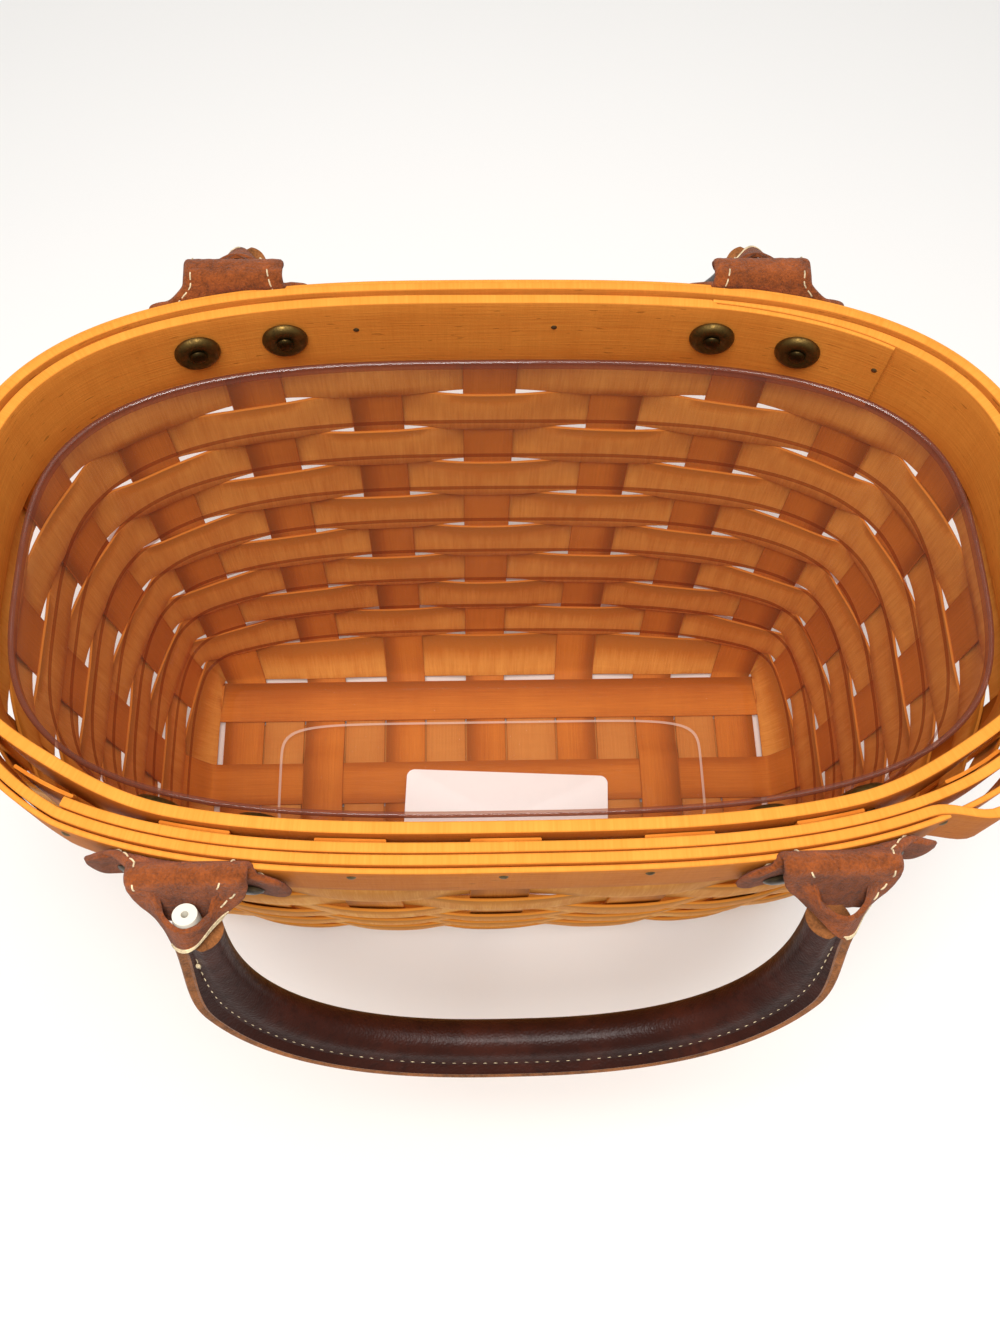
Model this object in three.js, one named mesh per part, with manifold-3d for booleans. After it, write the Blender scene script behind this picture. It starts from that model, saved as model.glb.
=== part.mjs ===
// Oval woven splint basket with leather swing handles and a lift-out clear liner.
// Millimetres, +Z up. X runs along the oval, -Y is the front, and the origin lies
// under the middle of the base, on the surface that the basket stands on.
import * as THREE from 'three';
import { mergeVertices } from 'three/addons/utils/BufferGeometryUtils.js';
import Module from 'manifold-3d';

const wasm = await Module();
wasm.setup();

// Clearances
const SEAT = 0.3;            // between pieces that touch on the real basket
const STAKE_PLAY = 0.35;     // either side of a stake between the rim bands
const HOLE_PLAY = 0.35;      // round a rivet shank

// Splints
const SPLINT_THICK = 1.2;
const CROSS_WIDTH = 17.0;    // splints that cross the base
const WIDE_FILLER = 21.4;    // one filler of the base is wider than the rest
const LONG_WIDTH = 18.2;     // splints that run along the base
const SPLINT_GAP = 0.5;      // between neighbours in the base
const CROSS_COUNT = 13;      // odd places are stakes, even places fillers
const WIDE_PLACE = 7;        // counted from zero at the left
const LONG_COUNT = 5;
const ARCH = { play: 1.2, run: 7.0 };   // of a cross stake over a lengthwise one
const STAKE_TUCK = 3.0;      // stake ends below the top of the bands
const LEAST_CROWN = 0.12;    // a stake on a flatter stretch of the rim is left flat

// Wall: weaver rows from the base up, with the slope of the wall at each
const WEAVER_WIDTH = 18.55;
const ROW_GAP = 0.7;
const FIRST_ROW_LIFT = 2.5;  // times half the row gap, clear of the bend at the heel
const HEEL = { length: 6.0, slope: 20 };
const ROW_SLOPES = [52, 76, 82, 82, 82, 82, 84, 87, 89, 90];
const WEAVER_SWELL = 0.6;    // a weaver bows away from the middle of each stake
const BOW_REACH = 0.82;      // over this share of the stake's half width
const CORNER_REACH = 1.0;    // and over this share of it at a corner
const CORNER_FULLNESS = 5.8; // the smaller, the further a corner of a weaver bulges

// Rim
const RIM_HALF_LENGTH = 143.0;   // to the middle of the stakes
const RIM_HALF_WIDTH = 79.6;
const RIM_POWER = 3.0;           // exponent of the oval
// Starts, laps and blends of the bands are shares of the way round, from +X through +Y
const INNER_BAND = { thick: 3.1, height: 28.0, start: 0.098, lap: 0.07, tip: 1.1 };
const OUTER_BAND = { thick: 2.6, height: 21.0, start: 0.609, lap: 0.29, blend: 0.03 };
const TRIM = { thick: 1.5, height: 19.0, drop: 1.2, start: 0.889, gap: 0.004 };
const LAP_STEP = 1e-3;
const CORNER_SLACK = { depth: 3.0, at: [0.592, 0.908], reach: 0.028 };   // inner band, front corners
const BAND_RISE = 1.2;           // from the top weaver to the inner band
const LONGEST_FACET = 0.022;     // as a share of the way round
const RIM_SAG = 0.18;            // largest gap between the oval and its facets

// Leather ears, each on two rivets
const EAR_X = 75.9;
const RIVET_SPREAD = 12.8;
const RIVET_DROP = 12.5;         // below the top of the rim
const RIVET = { shank: 1.9, head: 4.2, headRise: 1.2, tipHead: 2.4, tipRise: 1.2 };
const BORE = { length: 60.0, sides: 6 };   // cut for the rivets
const WASHER_PLAY = 0.45;        // from a flat washer to the bent band
const WASHER = { radius: 6.6, thick: 0.7, crown: 1.5, dish: 0.8, bore: 2.3 };
const STRAP = {
  thick: 2.0, wing: 22.5, body: 14.0, wingLow: 19.5, wingTop: 7.0, lipThick: 2.0, corner: 4.0,
};
const STRAP_STEPS = 6;
const FOLD_REACH = 3.3;          // from the front straps to the fold that a handle swings about
const HINGE_RISE = 1.6;          // above the top of the rim
const HANG = 19;                 // degrees that a handle stands off the vertical
const TAB = { thick: 2.0, half: 14.0, mouth: 7.0, foot: 18.0, footHalf: 7.6, edgeSegments: 5 };
// The pouch on a tab: its layer, how far it is let in at its mouth and its shoulder, the
// sides of its rings, the half width of the mouth, and the play round the core's end
const POUCH = {
  layer: 1.6, mouthSeam: 2.6, shoulder: 5.0, shoulderSeam: 4.0, sides: 10,
  mouthHalf: 6.4, throat: 3.0, waist: 8.0, play: 0.7, boreSides: 8, overlap: 1.0,
};

// Handles: a plastic core in rolled leather with a stitched flange
const CORE = { radius: 3.3, bore: 0.9, top: 6.6 };
const CORE_OFFSET = 4.7;         // core centre in front of the fold
const LEATHER = {
  thick: 1.8, play: 0.65, flange: 4.2, flangeThick: 3.2, tilt: 50, setDown: 2.2,
};
const BAIL = { halfSpan: 74.4, start: 12.0, depth: 66.0, power: 2.5 };
const BAIL_STEPS = 16;
const CURVE_SEGMENTS = 3;        // of each rounded outline that is extruded

// Liner: thermoformed clear plastic, dropped into the basket
const LINER = {
  wall: 1.1, inset: 11.2, footInset: 9.7, floorInset: 3.5,
  lipInset: 5.8, lipWidth: 2.6, lipDrop: 18.0, lipRoll: 2.2, lipNeck: 1.2,
};
const LINER_PANEL = { halfLength: 92.0, halfWidth: 27.5, rise: 2.4, bevel: 2.5, power: 7.0 };
const LINER_SPAN = 2;            // points from one stake to the next
// Levels of the wall at which the liner has rings, the lowest at its foot
const LINER_LEVELS = [1.5, 3, 7, 9, 10.8];

const paint = (color, roughness, metalness = 0, extra = {}) =>
  new THREE.MeshStandardMaterial({ color, roughness, metalness, ...extra });
const MATERIALS = {
  splint: paint(0xb87230, 0.45),
  band: paint(0xd08a3c, 0.4),
  suede: paint(0x8a4a2a, 0.9),
  leather: paint(0x3f1d14, 0.35),
  core: paint(0xe8e2d6, 0.5),
  brass: paint(0x6b5524, 0.45, 0.9),
  clear: paint(0xf0e2dc, 0.12, 0, { transparent: true, opacity: 0.3 }),
};

const basket = new THREE.Group();
const vec = (x, y, z) => new THREE.Vector3(x, y, z);
const radians = THREE.MathUtils.degToRad;

function addMesh(group, name, geometry, material) {
  const mesh = new THREE.Mesh(geometry, material);
  mesh.name = name;
  group.add(mesh);
  return mesh;
}

// Closed bodies from rings of points

function signedVolume(positions, triangles) {
  const [a, b, c] = [vec(0, 0, 0), vec(0, 0, 0), vec(0, 0, 0)];
  let volume = 0;
  for (let i = 0; i < triangles.length; i += 3) {
    a.fromArray(positions, 3 * triangles[i]);
    b.fromArray(positions, 3 * triangles[i + 1]);
    c.fromArray(positions, 3 * triangles[i + 2]);
    volume += a.dot(b.cross(c)) / 6;
  }
  return volume;
}

function bodyFrom(points, triangles) {
  const positions = points.flatMap((p) => [p.x, p.y, p.z]);
  if (signedVolume(positions, triangles) < 0) {
    for (let i = 0; i < triangles.length; i += 3) {
      [triangles[i + 1], triangles[i + 2]] = [triangles[i + 2], triangles[i + 1]];
    }
  }
  const geometry = new THREE.BufferGeometry();
  geometry.setAttribute('position', new THREE.Float32BufferAttribute(positions, 3));
  geometry.setIndex(triangles);
  return geometry;
}

// Joins rings of equal, even size, one after another. A closed sweep joins the last
// to the first; an open one is capped by strips across its end rings.
function sweepRings(rings, closed) {
  const size = rings[0].length;
  const points = rings.flat();
  const triangles = [];
  const joints = closed ? rings.length : rings.length - 1;
  for (let i = 0; i < joints; i++) {
    const here = i * size;
    const next = ((i + 1) % rings.length) * size;
    for (let j = 0; j < size; j++) {
      const k = (j + 1) % size;
      triangles.push(here + j, next + j, next + k, here + j, next + k, here + k);
    }
  }
  if (!closed) {
    for (const [first, flip] of [[0, false], [(rings.length - 1) * size, true]]) {
      for (let j = 0; j < size / 2 - 1; j++) {
        const [a, b] = [first + j, first + j + 1];
        const [c, d] = [first + size - 2 - j, first + size - 1 - j];
        triangles.push(...(flip ? [a, d, b, b, d, c] : [a, b, d, b, c, d]));
      }
    }
  }
  return bodyFrom(points, triangles);
}

// Solids for boolean cuts and joins

function solidOf(geometry, matrix = new THREE.Matrix4()) {
  const bare = geometry.clone().applyMatrix4(matrix);
  bare.deleteAttribute('normal');
  bare.deleteAttribute('uv');
  const merged = mergeVertices(bare, 1e-4);
  return new wasm.Manifold(new wasm.Mesh({
    numProp: 3,
    vertProperties: new Float32Array(merged.attributes.position.array),
    triVerts: new Uint32Array(merged.index.array),
  }));
}

function geometryOf(solid) {
  const mesh = solid.getMesh();
  const geometry = new THREE.BufferGeometry();
  geometry.setAttribute('position', new THREE.BufferAttribute(mesh.vertProperties, 3));
  geometry.setIndex(new THREE.BufferAttribute(mesh.triVerts, 1));
  return geometry;
}

// The rim oval, as the middle line of the stakes

class RimOval extends THREE.Curve {
  getPoint(t, target = vec(0, 0, 0)) {
    const angle = 2 * Math.PI * t;
    const side = (value) => Math.sign(value) * Math.abs(value) ** (2 / RIM_POWER);
    return target.set(RIM_HALF_LENGTH * side(Math.cos(angle)),
      RIM_HALF_WIDTH * side(Math.sin(angle)), 0);
  }
}
const rimOval = new RimOval();
rimOval.arcLengthDivisions = 2400;

function rimNormal(p) {
  const grade = (value, half) =>
    Math.sign(value) * Math.abs(value / half) ** (RIM_POWER - 1) / half;
  return vec(grade(p.x, RIM_HALF_LENGTH), grade(p.y, RIM_HALF_WIDTH), 0).normalize();
}

const wrapped = (share) => ((share % 1) + 1) % 1;

// Shares of the way round at which the rim is faceted, finer where it bends more
function rimShares(sag) {
  const length = rimOval.getLength();
  const shares = [];
  for (let share = 0; share < 1;) {
    shares.push(share);
    const away = 0.012;
    const turn = rimNormal(rimOval.getPointAt(share))
      .angleTo(rimNormal(rimOval.getPointAt(wrapped(share + away))));
    share += Math.min(Math.sqrt(8 * sag * away / turn / length), LONGEST_FACET);
  }
  return shares.filter((share) => share < 0.995);
}

// A point of the rim at a share of its way round (0 at +X, 0.25 at +Y), set off outward
function rimPoint(share, offset) {
  const p = rimOval.getPointAt(wrapped(share));
  return p.addScaledVector(rimNormal(p), offset);
}

function rimAtX(x, side) {
  const rest = (1 - Math.abs(x / RIM_HALF_LENGTH) ** RIM_POWER) ** (1 / RIM_POWER);
  return vec(x, side * RIM_HALF_WIDTH * rest, 0);
}

function rimAtY(y, side) {
  const rest = (1 - Math.abs(y / RIM_HALF_WIDTH) ** RIM_POWER) ** (1 / RIM_POWER);
  return vec(side * RIM_HALF_LENGTH * rest, y, 0);
}

// Layers of the base, from the floor up: long fillers, cross splints, long stakes
const LAYER = SPLINT_THICK + SEAT;
const layerZ = (index) => index * LAYER + SPLINT_THICK / 2;

const crossWidths = Array.from({ length: CROSS_COUNT },
  (_, i) => (i === WIDE_PLACE ? WIDE_FILLER : CROSS_WIDTH));
const baseHalfLength = (crossWidths.reduce((sum, w) => sum + w, 0)
  + (CROSS_COUNT - 1) * SPLINT_GAP) / 2;
const baseHalfWidth = (LONG_COUNT * LONG_WIDTH + (LONG_COUNT - 1) * SPLINT_GAP) / 2;
const crossX = [];
crossWidths.reduce((edge, width) => {
  crossX.push(edge + width / 2);
  return edge + width + SPLINT_GAP;
}, -baseHalfLength);
const longY = Array.from({ length: LONG_COUNT },
  (_, i) => (i - (LONG_COUNT - 1) / 2) * (LONG_WIDTH + SPLINT_GAP));

// Levels of the wall: how far out (as a share of the whole flare) and how high
const rowPitch = WEAVER_WIDTH + ROW_GAP;
const wallSteps = [
  HEEL,
  ...ROW_SLOPES.map((slope) => ({ length: rowPitch, slope })),
];
const levels = [{ out: 0, z: layerZ(1) }];
for (const { length, slope } of wallSteps) {
  const last = levels[levels.length - 1];
  levels.push({
    out: last.out + length * Math.cos(radians(slope)),
    z: last.z + length * Math.sin(radians(slope)),
  });
}
const flare = levels[levels.length - 1].out;
levels.forEach((level) => { level.out /= flare; });
const weaveTop = levels[levels.length - 1].z;
const rimTop = weaveTop + BAND_RISE + INNER_BAND.height;
levels.push({ out: 1, z: rimTop - STAKE_TUCK });
const FIRST_ROW_LEVEL = 1;
// A stake needs a ring only where it ends or bends
const slopes = [...wallSteps.map(({ slope }) => slope), 90];
const bendLevels = levels.map((_, i) => i)
  .filter((i) => i === 0 || i === levels.length - 1 || slopes[i] !== slopes[i - 1]);

// The sides of the stakes, listed once round the basket from +X through +Y
const RIM_SPREAD = (EAR_X / crossX[10] + EAR_X / -crossX[2]) / 2;
const stakeSides = [];
function addSide(base, rim, width, baseTangent, baseZ, key) {
  const normal = rimNormal(rim);
  const rimTangent = vec(-normal.y, normal.x, 0);
  const ahead = rim.clone().addScaledVector(rimTangent, width / 2);
  const bend = Math.abs(ahead.x) < RIM_HALF_LENGTH && Math.abs(ahead.y) < RIM_HALF_WIDTH
    ? ahead.clone().sub(rim).dot(rimTangent) : width / 2;
  const edge = Math.abs(normal.x) > Math.abs(normal.y)
    ? rimAtY(ahead.y, Math.sign(rim.x)) : rimAtX(ahead.x, Math.sign(rim.y));
  const sag = Math.min(Math.max(rim.clone().sub(edge).dot(normal), 0), bend);
  const crown = sag > LEAST_CROWN ? sag : 0;
  stakeSides.push({ base, rim, width, baseTangent, rimTangent, baseZ, crown, key });
}
const stakePlaces = crossX.map((x, i) => ({ x, i })).filter(({ i }) => i % 2 === 0);
const longPlaces = longY.map((y, i) => ({ y, i })).filter(({ i }) => i % 2 === 0);
for (const side of [1, -1]) {
  const ordered = side > 0 ? [...longPlaces] : [...longPlaces].reverse();
  for (const { y, i } of ordered) {
    addSide(vec(side * baseHalfLength, y, 0), rimAtY(y * RIM_SPREAD, side), LONG_WIDTH,
      vec(0, side, 0), layerZ(2), `long_${i}_${side}`);
  }
  const across = side > 0 ? [...stakePlaces].reverse() : [...stakePlaces];
  stakeSides[stakeSides.length - 1].corner = true;
  for (const { x, i } of across) {
    addSide(vec(x, side * baseHalfWidth, 0), rimAtX(x * RIM_SPREAD, side), CROSS_WIDTH,
      vec(-side, 0, 0), layerZ(1), `cross_${i}_${side}`);
  }
  stakeSides[stakeSides.length - 1].corner = true;
}

// Where a stake side is at a level, which may lie between two whole levels
function frameAt(side, height) {
  const low = Math.min(Math.floor(height), levels.length - 2);
  const share = height - low;
  const [a, b] = [levels[low], levels[low + 1]];
  const place = (level, index) => {
    const p = side.base.clone().lerp(side.rim, level.out);
    p.z = index === 0 ? side.baseZ : level.z;
    return p;
  };
  const [pa, pb] = [place(a, low), place(b, low + 1)];
  const out = THREE.MathUtils.lerp(a.out, b.out, share);
  const tangent = side.baseTangent.clone().lerp(side.rimTangent, out).normalize();
  const up = pb.clone().sub(pa).normalize();
  return {
    point: pa.lerp(pb, share),
    tangent,
    up,
    normal: tangent.clone().cross(up).normalize(),
    crown: side.crown * out,
  };
}

// Stakes: one splint up the wall, across the base and up the other side

const acrossSection = (frame, width, normal, reach, places) => {
  const corner = (s, t) => frame.point.clone()
    .addScaledVector(frame.tangent, s * width / 2)
    .addScaledVector(normal, t * reach - Math.abs(s) * frame.crown);
  return [...places.map((s) => corner(s, 1)), ...places.map((s) => corner(s, -1)).reverse()];
};

function stakeGeometry(first, second, width, basePath) {
  const stations = [];
  for (const level of [...bendLevels].reverse()) {
    const { point, tangent, crown } = frameAt(first, level);
    stations.push({ point, tangent, crown });
  }
  for (const point of basePath) {
    stations.push({ point, tangent: first.baseTangent.clone(), crown: 0 });
  }
  for (const level of bendLevels) {
    const { point, tangent, crown } = frameAt(second, level);
    stations.push({ point, tangent: tangent.negate(), crown });
  }
  const places = first.crown > LEAST_CROWN ? [-1, 0, 1] : [-1, 1];
  const rings = stations.map((station, i) => {
    const before = stations[Math.max(i - 1, 0)].point;
    const after = stations[Math.min(i + 1, stations.length - 1)].point;
    const along = [station.point.clone().sub(before), after.clone().sub(station.point)]
      .filter((step) => step.length() > 0).map((step) => step.normalize());
    const mean = along.reduce((sum, step) => sum.add(step), vec(0, 0, 0)).normalize();
    const normal = mean.clone().cross(station.tangent).normalize();
    return acrossSection(station, width, normal, SPLINT_THICK / 2 / mean.dot(along[0]), places);
  });
  return sweepRings(rings, false);
}

const sideByKey = Object.fromEntries(stakeSides.map((side) => [side.key, side]));
const archReach = LONG_WIDTH / 2 + ARCH.play;
stakePlaces.forEach(({ x, i }, order) => {
  const arched = order === 1 || order === stakePlaces.length - 2;
  const high = layerZ(3);
  const basePath = arched
    ? [[archReach + ARCH.run, layerZ(1)], [archReach, high], [-archReach, high],
      [-archReach - ARCH.run, layerZ(1)]].map(([y, z]) => vec(x, y, z))
    : [];
  addMesh(basket, `cross_stake_${order + 1}`,
    stakeGeometry(sideByKey[`cross_${i}_1`], sideByKey[`cross_${i}_-1`], CROSS_WIDTH, basePath),
    MATERIALS.splint);
});
longPlaces.forEach(({ i }, order) => {
  addMesh(basket, `long_stake_${order + 1}`,
    stakeGeometry(sideByKey[`long_${i}_1`], sideByKey[`long_${i}_-1`], LONG_WIDTH, []),
    MATERIALS.splint);
});

// Fillers close the base between the stakes

crossX.forEach((x, i) => {
  if (i % 2 === 0) return;
  const strip = addMesh(basket, `cross_filler_${(i + 1) / 2}`,
    new THREE.BoxGeometry(crossWidths[i], 2 * baseHalfWidth, SPLINT_THICK), MATERIALS.splint);
  strip.position.set(x, 0, layerZ(1));
});
longY.forEach((y, i) => {
  if (i % 2 === 0) return;
  const strip = addMesh(basket, `long_filler_${(i + 1) / 2}`,
    new THREE.BoxGeometry(2 * baseHalfLength, LONG_WIDTH, SPLINT_THICK), MATERIALS.splint);
  strip.position.set(0, y, layerZ(0));
});

// Weavers: rings that pass outside and inside the stakes by turns

const weaverOffset = SPLINT_THICK + SEAT;

// The middle line of a weaver at one height: two points at each stake, one at each corner
function weaverLine(height, turn) {
  const passes = stakeSides.map((side, i) => {
    const frame = frameAt(side, height);
    const sign = (i + turn) % 2 === 0 ? 1 : -1;
    const before = stakeSides[(i + stakeSides.length - 1) % stakeSides.length];
    const at = (end, atCorner) => {
      const reach = atCorner ? CORNER_REACH : BOW_REACH;
      const offset = weaverOffset + (atCorner ? WEAVER_SWELL / 2 : WEAVER_SWELL);
      const fall = sign > 0 && !atCorner ? frame.crown / 2 : frame.crown;
      return frame.point.clone()
        .addScaledVector(frame.tangent, end * reach * side.width / 2)
        .addScaledVector(frame.normal, sign * offset - fall);
    };
    return {
      enter: at(-1, before.corner), leave: at(1, side.corner),
      tangent: frame.tangent, up: frame.up,
    };
  });
  return passes.flatMap((pass, i) => {
    const next = passes[(i + 1) % passes.length];
    const line = [{ point: pass.enter, up: pass.up }, { point: pass.leave, up: pass.up }];
    if (stakeSides[i].corner) {
      const bulge = pass.leave.distanceTo(next.enter) / CORNER_FULLNESS;
      const between = pass.leave.clone().lerp(next.enter, 0.5)
        .addScaledVector(pass.tangent, bulge).addScaledVector(next.tangent, -bulge);
      line.push({ point: between, up: pass.up.clone().add(next.up).normalize() });
    }
    return line;
  });
}

function weaverGeometry(heights, turn) {
  const lines = heights.map((height) => weaverLine(height, turn));
  const count = lines[0].length;
  const faces = lines.map((line) => line.map(({ point, up }, i) => {
    const along = line[(i + 1) % count].point.clone()
      .sub(line[(i + count - 1) % count].point).normalize();
    const normal = along.cross(up).normalize();
    return [1, -1].map((s) => point.clone().addScaledVector(normal, s * SPLINT_THICK / 2));
  }));
  const rings = Array.from({ length: count }, (_, i) => [
    ...faces.map((line) => line[i][0]), ...faces.map((line) => line[i][1]).reverse(),
  ]);
  return sweepRings(rings, true);
}

ROW_SLOPES.forEach((_, row) => {
  const inset = ROW_GAP / 2 / rowPitch;
  const low = FIRST_ROW_LEVEL + row;
  const heights = [low + (row === 0 ? FIRST_ROW_LIFT * inset : inset), low + 1 - inset];
  addMesh(basket, `weaver_${String(row + 1).padStart(2, '0')}`,
    weaverGeometry(heights, row + 1), MATERIALS.splint);
});

// Rim bands: strips bent round the oval, their ends lapped

const facetShares = rimShares(RIM_SAG);
const outerFace = SPLINT_THICK / 2 + STAKE_PLAY;
const ramp = (value) => THREE.MathUtils.clamp(value, 0, 1);

// The face of the inner band that looks at the stakes stands off them at the front corners
function innerFace(share) {
  const slack = CORNER_SLACK.at.reduce((sum, at) => {
    const away = Math.abs(wrapped(share) - at) / CORNER_SLACK.reach;
    return sum + (away < 1 ? Math.cos(away * Math.PI / 2) ** 2 : 0);
  }, 0);
  return -SPLINT_THICK / 2 - STAKE_PLAY - CORNER_SLACK.depth * slack;
}

// A strip from one share of the way round to another; faces(share) gives its two offsets,
// and a break is a share where they step
function bandGeometry(start, end, faces, height, bottom, breaks = []) {
  const shares = [start, end, ...breaks, ...breaks.map((share) => share - LAP_STEP)];
  for (const share of [0, 1, 2].flatMap((turn) => facetShares.map((place) => place + turn))) {
    const free = shares.every((other) => Math.abs(other - share) > 4e-3);
    if (share > start && share < end && free) shares.push(share);
  }
  shares.sort((a, b) => a - b);
  const outline = [
    ...shares.map((share) => rimPoint(share, faces(share)[1])),
    ...shares.map((share) => rimPoint(share, faces(share)[0])).reverse(),
  ].map((p) => new THREE.Vector2(p.x, p.y));
  const geometry = new THREE.ExtrudeGeometry(new THREE.Shape(outline),
    { depth: height, bevelEnabled: false, steps: 1 });
  return geometry.translate(0, 0, bottom);
}

// The inner band starts as a thin end laid over its other end, which thins under it
const innerEnd = INNER_BAND.start + 1 + INNER_BAND.lap - 2 * LAP_STEP;
const innerFaces = (share) => {
  const face = innerFace(share);
  const { thick, tip, lap, start } = INNER_BAND;
  const early = ramp(1 - (share - start) / lap);
  const over = share < start + lap;
  const late = ramp((innerEnd - share) / lap);
  return [
    over ? face - thick - early * (tip + SEAT) : face - tip - (thick - tip) * late,
    over ? face - SEAT - tip - (thick - tip) * early : face,
  ];
};
const innerReach = (share) => {
  const round = wrapped(share);
  return -innerFaces(round < INNER_BAND.start ? round + 1 : round)[0];
};
const innerBand = bandGeometry(INNER_BAND.start, innerEnd, innerFaces, INNER_BAND.height,
  rimTop - INNER_BAND.height, [INNER_BAND.start + INNER_BAND.lap]);

// The outer band runs on over itself along the front
const outerEnd = OUTER_BAND.start + 1 + OUTER_BAND.lap;
const secondLayer = OUTER_BAND.thick + SEAT;
const outerShift = (share) =>
  ramp((share - OUTER_BAND.start - 1 + OUTER_BAND.blend) / OUTER_BAND.blend) * secondLayer;
const outerFaces = (share) => {
  const low = outerFace + outerShift(share);
  return [low, low + OUTER_BAND.thick];
};
const outerBand = bandGeometry(OUTER_BAND.start, outerEnd, outerFaces, OUTER_BAND.height,
  rimTop - OUTER_BAND.height);

// How far the outer band reaches at a share of the way round
function outerReach(share) {
  const round = wrapped(share);
  const { start, blend } = OUTER_BAND;
  const rise = ramp((round - start + blend) / blend);
  const fall = 1 - ramp((round - (outerEnd - 1) - blend / 4) / blend);
  return outerFace + OUTER_BAND.thick + Math.min(rise, fall) * secondLayer;
}
const trimFace = (share) => outerReach(share) + SEAT;
const trim = bandGeometry(TRIM.start, TRIM.start + 1 - TRIM.gap,
  (share) => [trimFace(share), trimFace(share) + TRIM.thick], TRIM.height,
  rimTop - TRIM.drop - TRIM.height);

// Rivets

const rivetPlaces = [];
for (const side of [1, -1]) {
  for (const hand of [-1, 1]) {
    for (const place of [-1, 1]) {
      rivetPlaces.push({ side, hand, x: hand * EAR_X + place * RIVET_SPREAD });
    }
  }
}
const rivetZ = rimTop - RIVET_DROP;
const ovalShareAt = (p) => {
  let [low, high] = p.y > 0 ? [0, 0.5] : [0.5, 1];
  for (let i = 0; i < 40; i++) {
    const middle = (low + high) / 2;
    const ahead = rimOval.getPointAt(middle).x < p.x;
    if (ahead === (p.y > 0)) high = middle;
    else low = middle;
  }
  return (low + high) / 2;
};

// Local Z of a rivet runs outward, square to the bands, from the stakes' middle line
function rivetFrame({ side, x }) {
  const point = rimAtX(x, side);
  const outward = rimNormal(point);
  point.z = rivetZ;
  const turn = new THREE.Quaternion().setFromUnitVectors(vec(0, 0, 1), outward);
  return { point, turn, share: ovalShareAt(point), outward };
}

const strapFace = (share) => trimFace(share) + TRIM.thick + SEAT;
function rivetBores() {
  const radius = (RIVET.shank + HOLE_PLAY) / Math.cos(Math.PI / BORE.sides);
  const bore = new THREE.CylinderGeometry(radius, radius, BORE.length, BORE.sides)
    .rotateX(Math.PI / 2);
  return rivetPlaces.map((place) => {
    const { point, turn } = rivetFrame(place);
    return solidOf(bore, new THREE.Matrix4().compose(point, turn, vec(1, 1, 1)));
  });
}
const bores = rivetBores();
const drilled = (geometry) =>
  geometryOf(bores.reduce((solid, bore) => solid.subtract(bore), solidOf(geometry)));

addMesh(basket, 'inner_band', drilled(innerBand), MATERIALS.band);
addMesh(basket, 'outer_band', drilled(outerBand), MATERIALS.band);
addMesh(basket, 'trim_strip', drilled(trim), MATERIALS.band);

const turned = (profile, segments) =>
  new THREE.LatheGeometry(profile.map(([r, z]) => new THREE.Vector2(r, z)), segments)
    .rotateX(Math.PI / 2);

const insideName = { 1: 'back', '-1': 'front' };
const handName = { '-1': 'left', 1: 'right' };
rivetPlaces.forEach((place, i) => {
  const { point, turn, share } = rivetFrame(place);
  const washerFloor = innerReach(share) + WASHER_PLAY;
  const tipFloor = washerFloor + WASHER.dish + WASHER.thick + SEAT;
  const headFloor = strapFace(share) + STRAP.thick + SEAT;
  const rivet = turned([
    [0, -tipFloor - RIVET.tipRise], [RIVET.tipHead * 0.7, -tipFloor - RIVET.tipRise * 0.75],
    [RIVET.tipHead, -tipFloor], [RIVET.shank, -tipFloor], [RIVET.shank, headFloor],
    [RIVET.head, headFloor], [RIVET.head * 0.75, headFloor + RIVET.headRise * 0.8],
    [0, headFloor + RIVET.headRise],
  ], 8);
  const washer = turned([
    [WASHER.bore, -washerFloor - WASHER.dish],
    [WASHER.bore, -washerFloor - WASHER.dish - WASHER.thick],
    [WASHER.radius * 0.72, -washerFloor - WASHER.crown - WASHER.thick],
    [WASHER.radius, -washerFloor - WASHER.thick], [WASHER.radius, -washerFloor],
    [WASHER.radius * 0.7, -washerFloor - WASHER.crown],
    [WASHER.bore, -washerFloor - WASHER.dish],
  ], 8);
  const tag = `${insideName[place.side]}_${handName[place.hand]}_${(i % 2) + 1}`;
  for (const [name, geometry] of [[`rivet_${tag}`, rivet], [`washer_${tag}`, washer]]) {
    const mesh = addMesh(basket, name, geometry, MATERIALS.brass);
    mesh.position.copy(point);
    mesh.quaternion.copy(turn);
  }
});

const frontEar = rimAtX(EAR_X, -1);
const hingeY = -frontEar.addScaledVector(rimNormal(frontEar),
  strapFace(ovalShareAt(frontEar)) + STRAP.thick).y + FOLD_REACH;

const hingeZ = rimTop + HINGE_RISE;

// Ear straps: leather riveted to the trim, with a lip turned out to the fold

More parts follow.
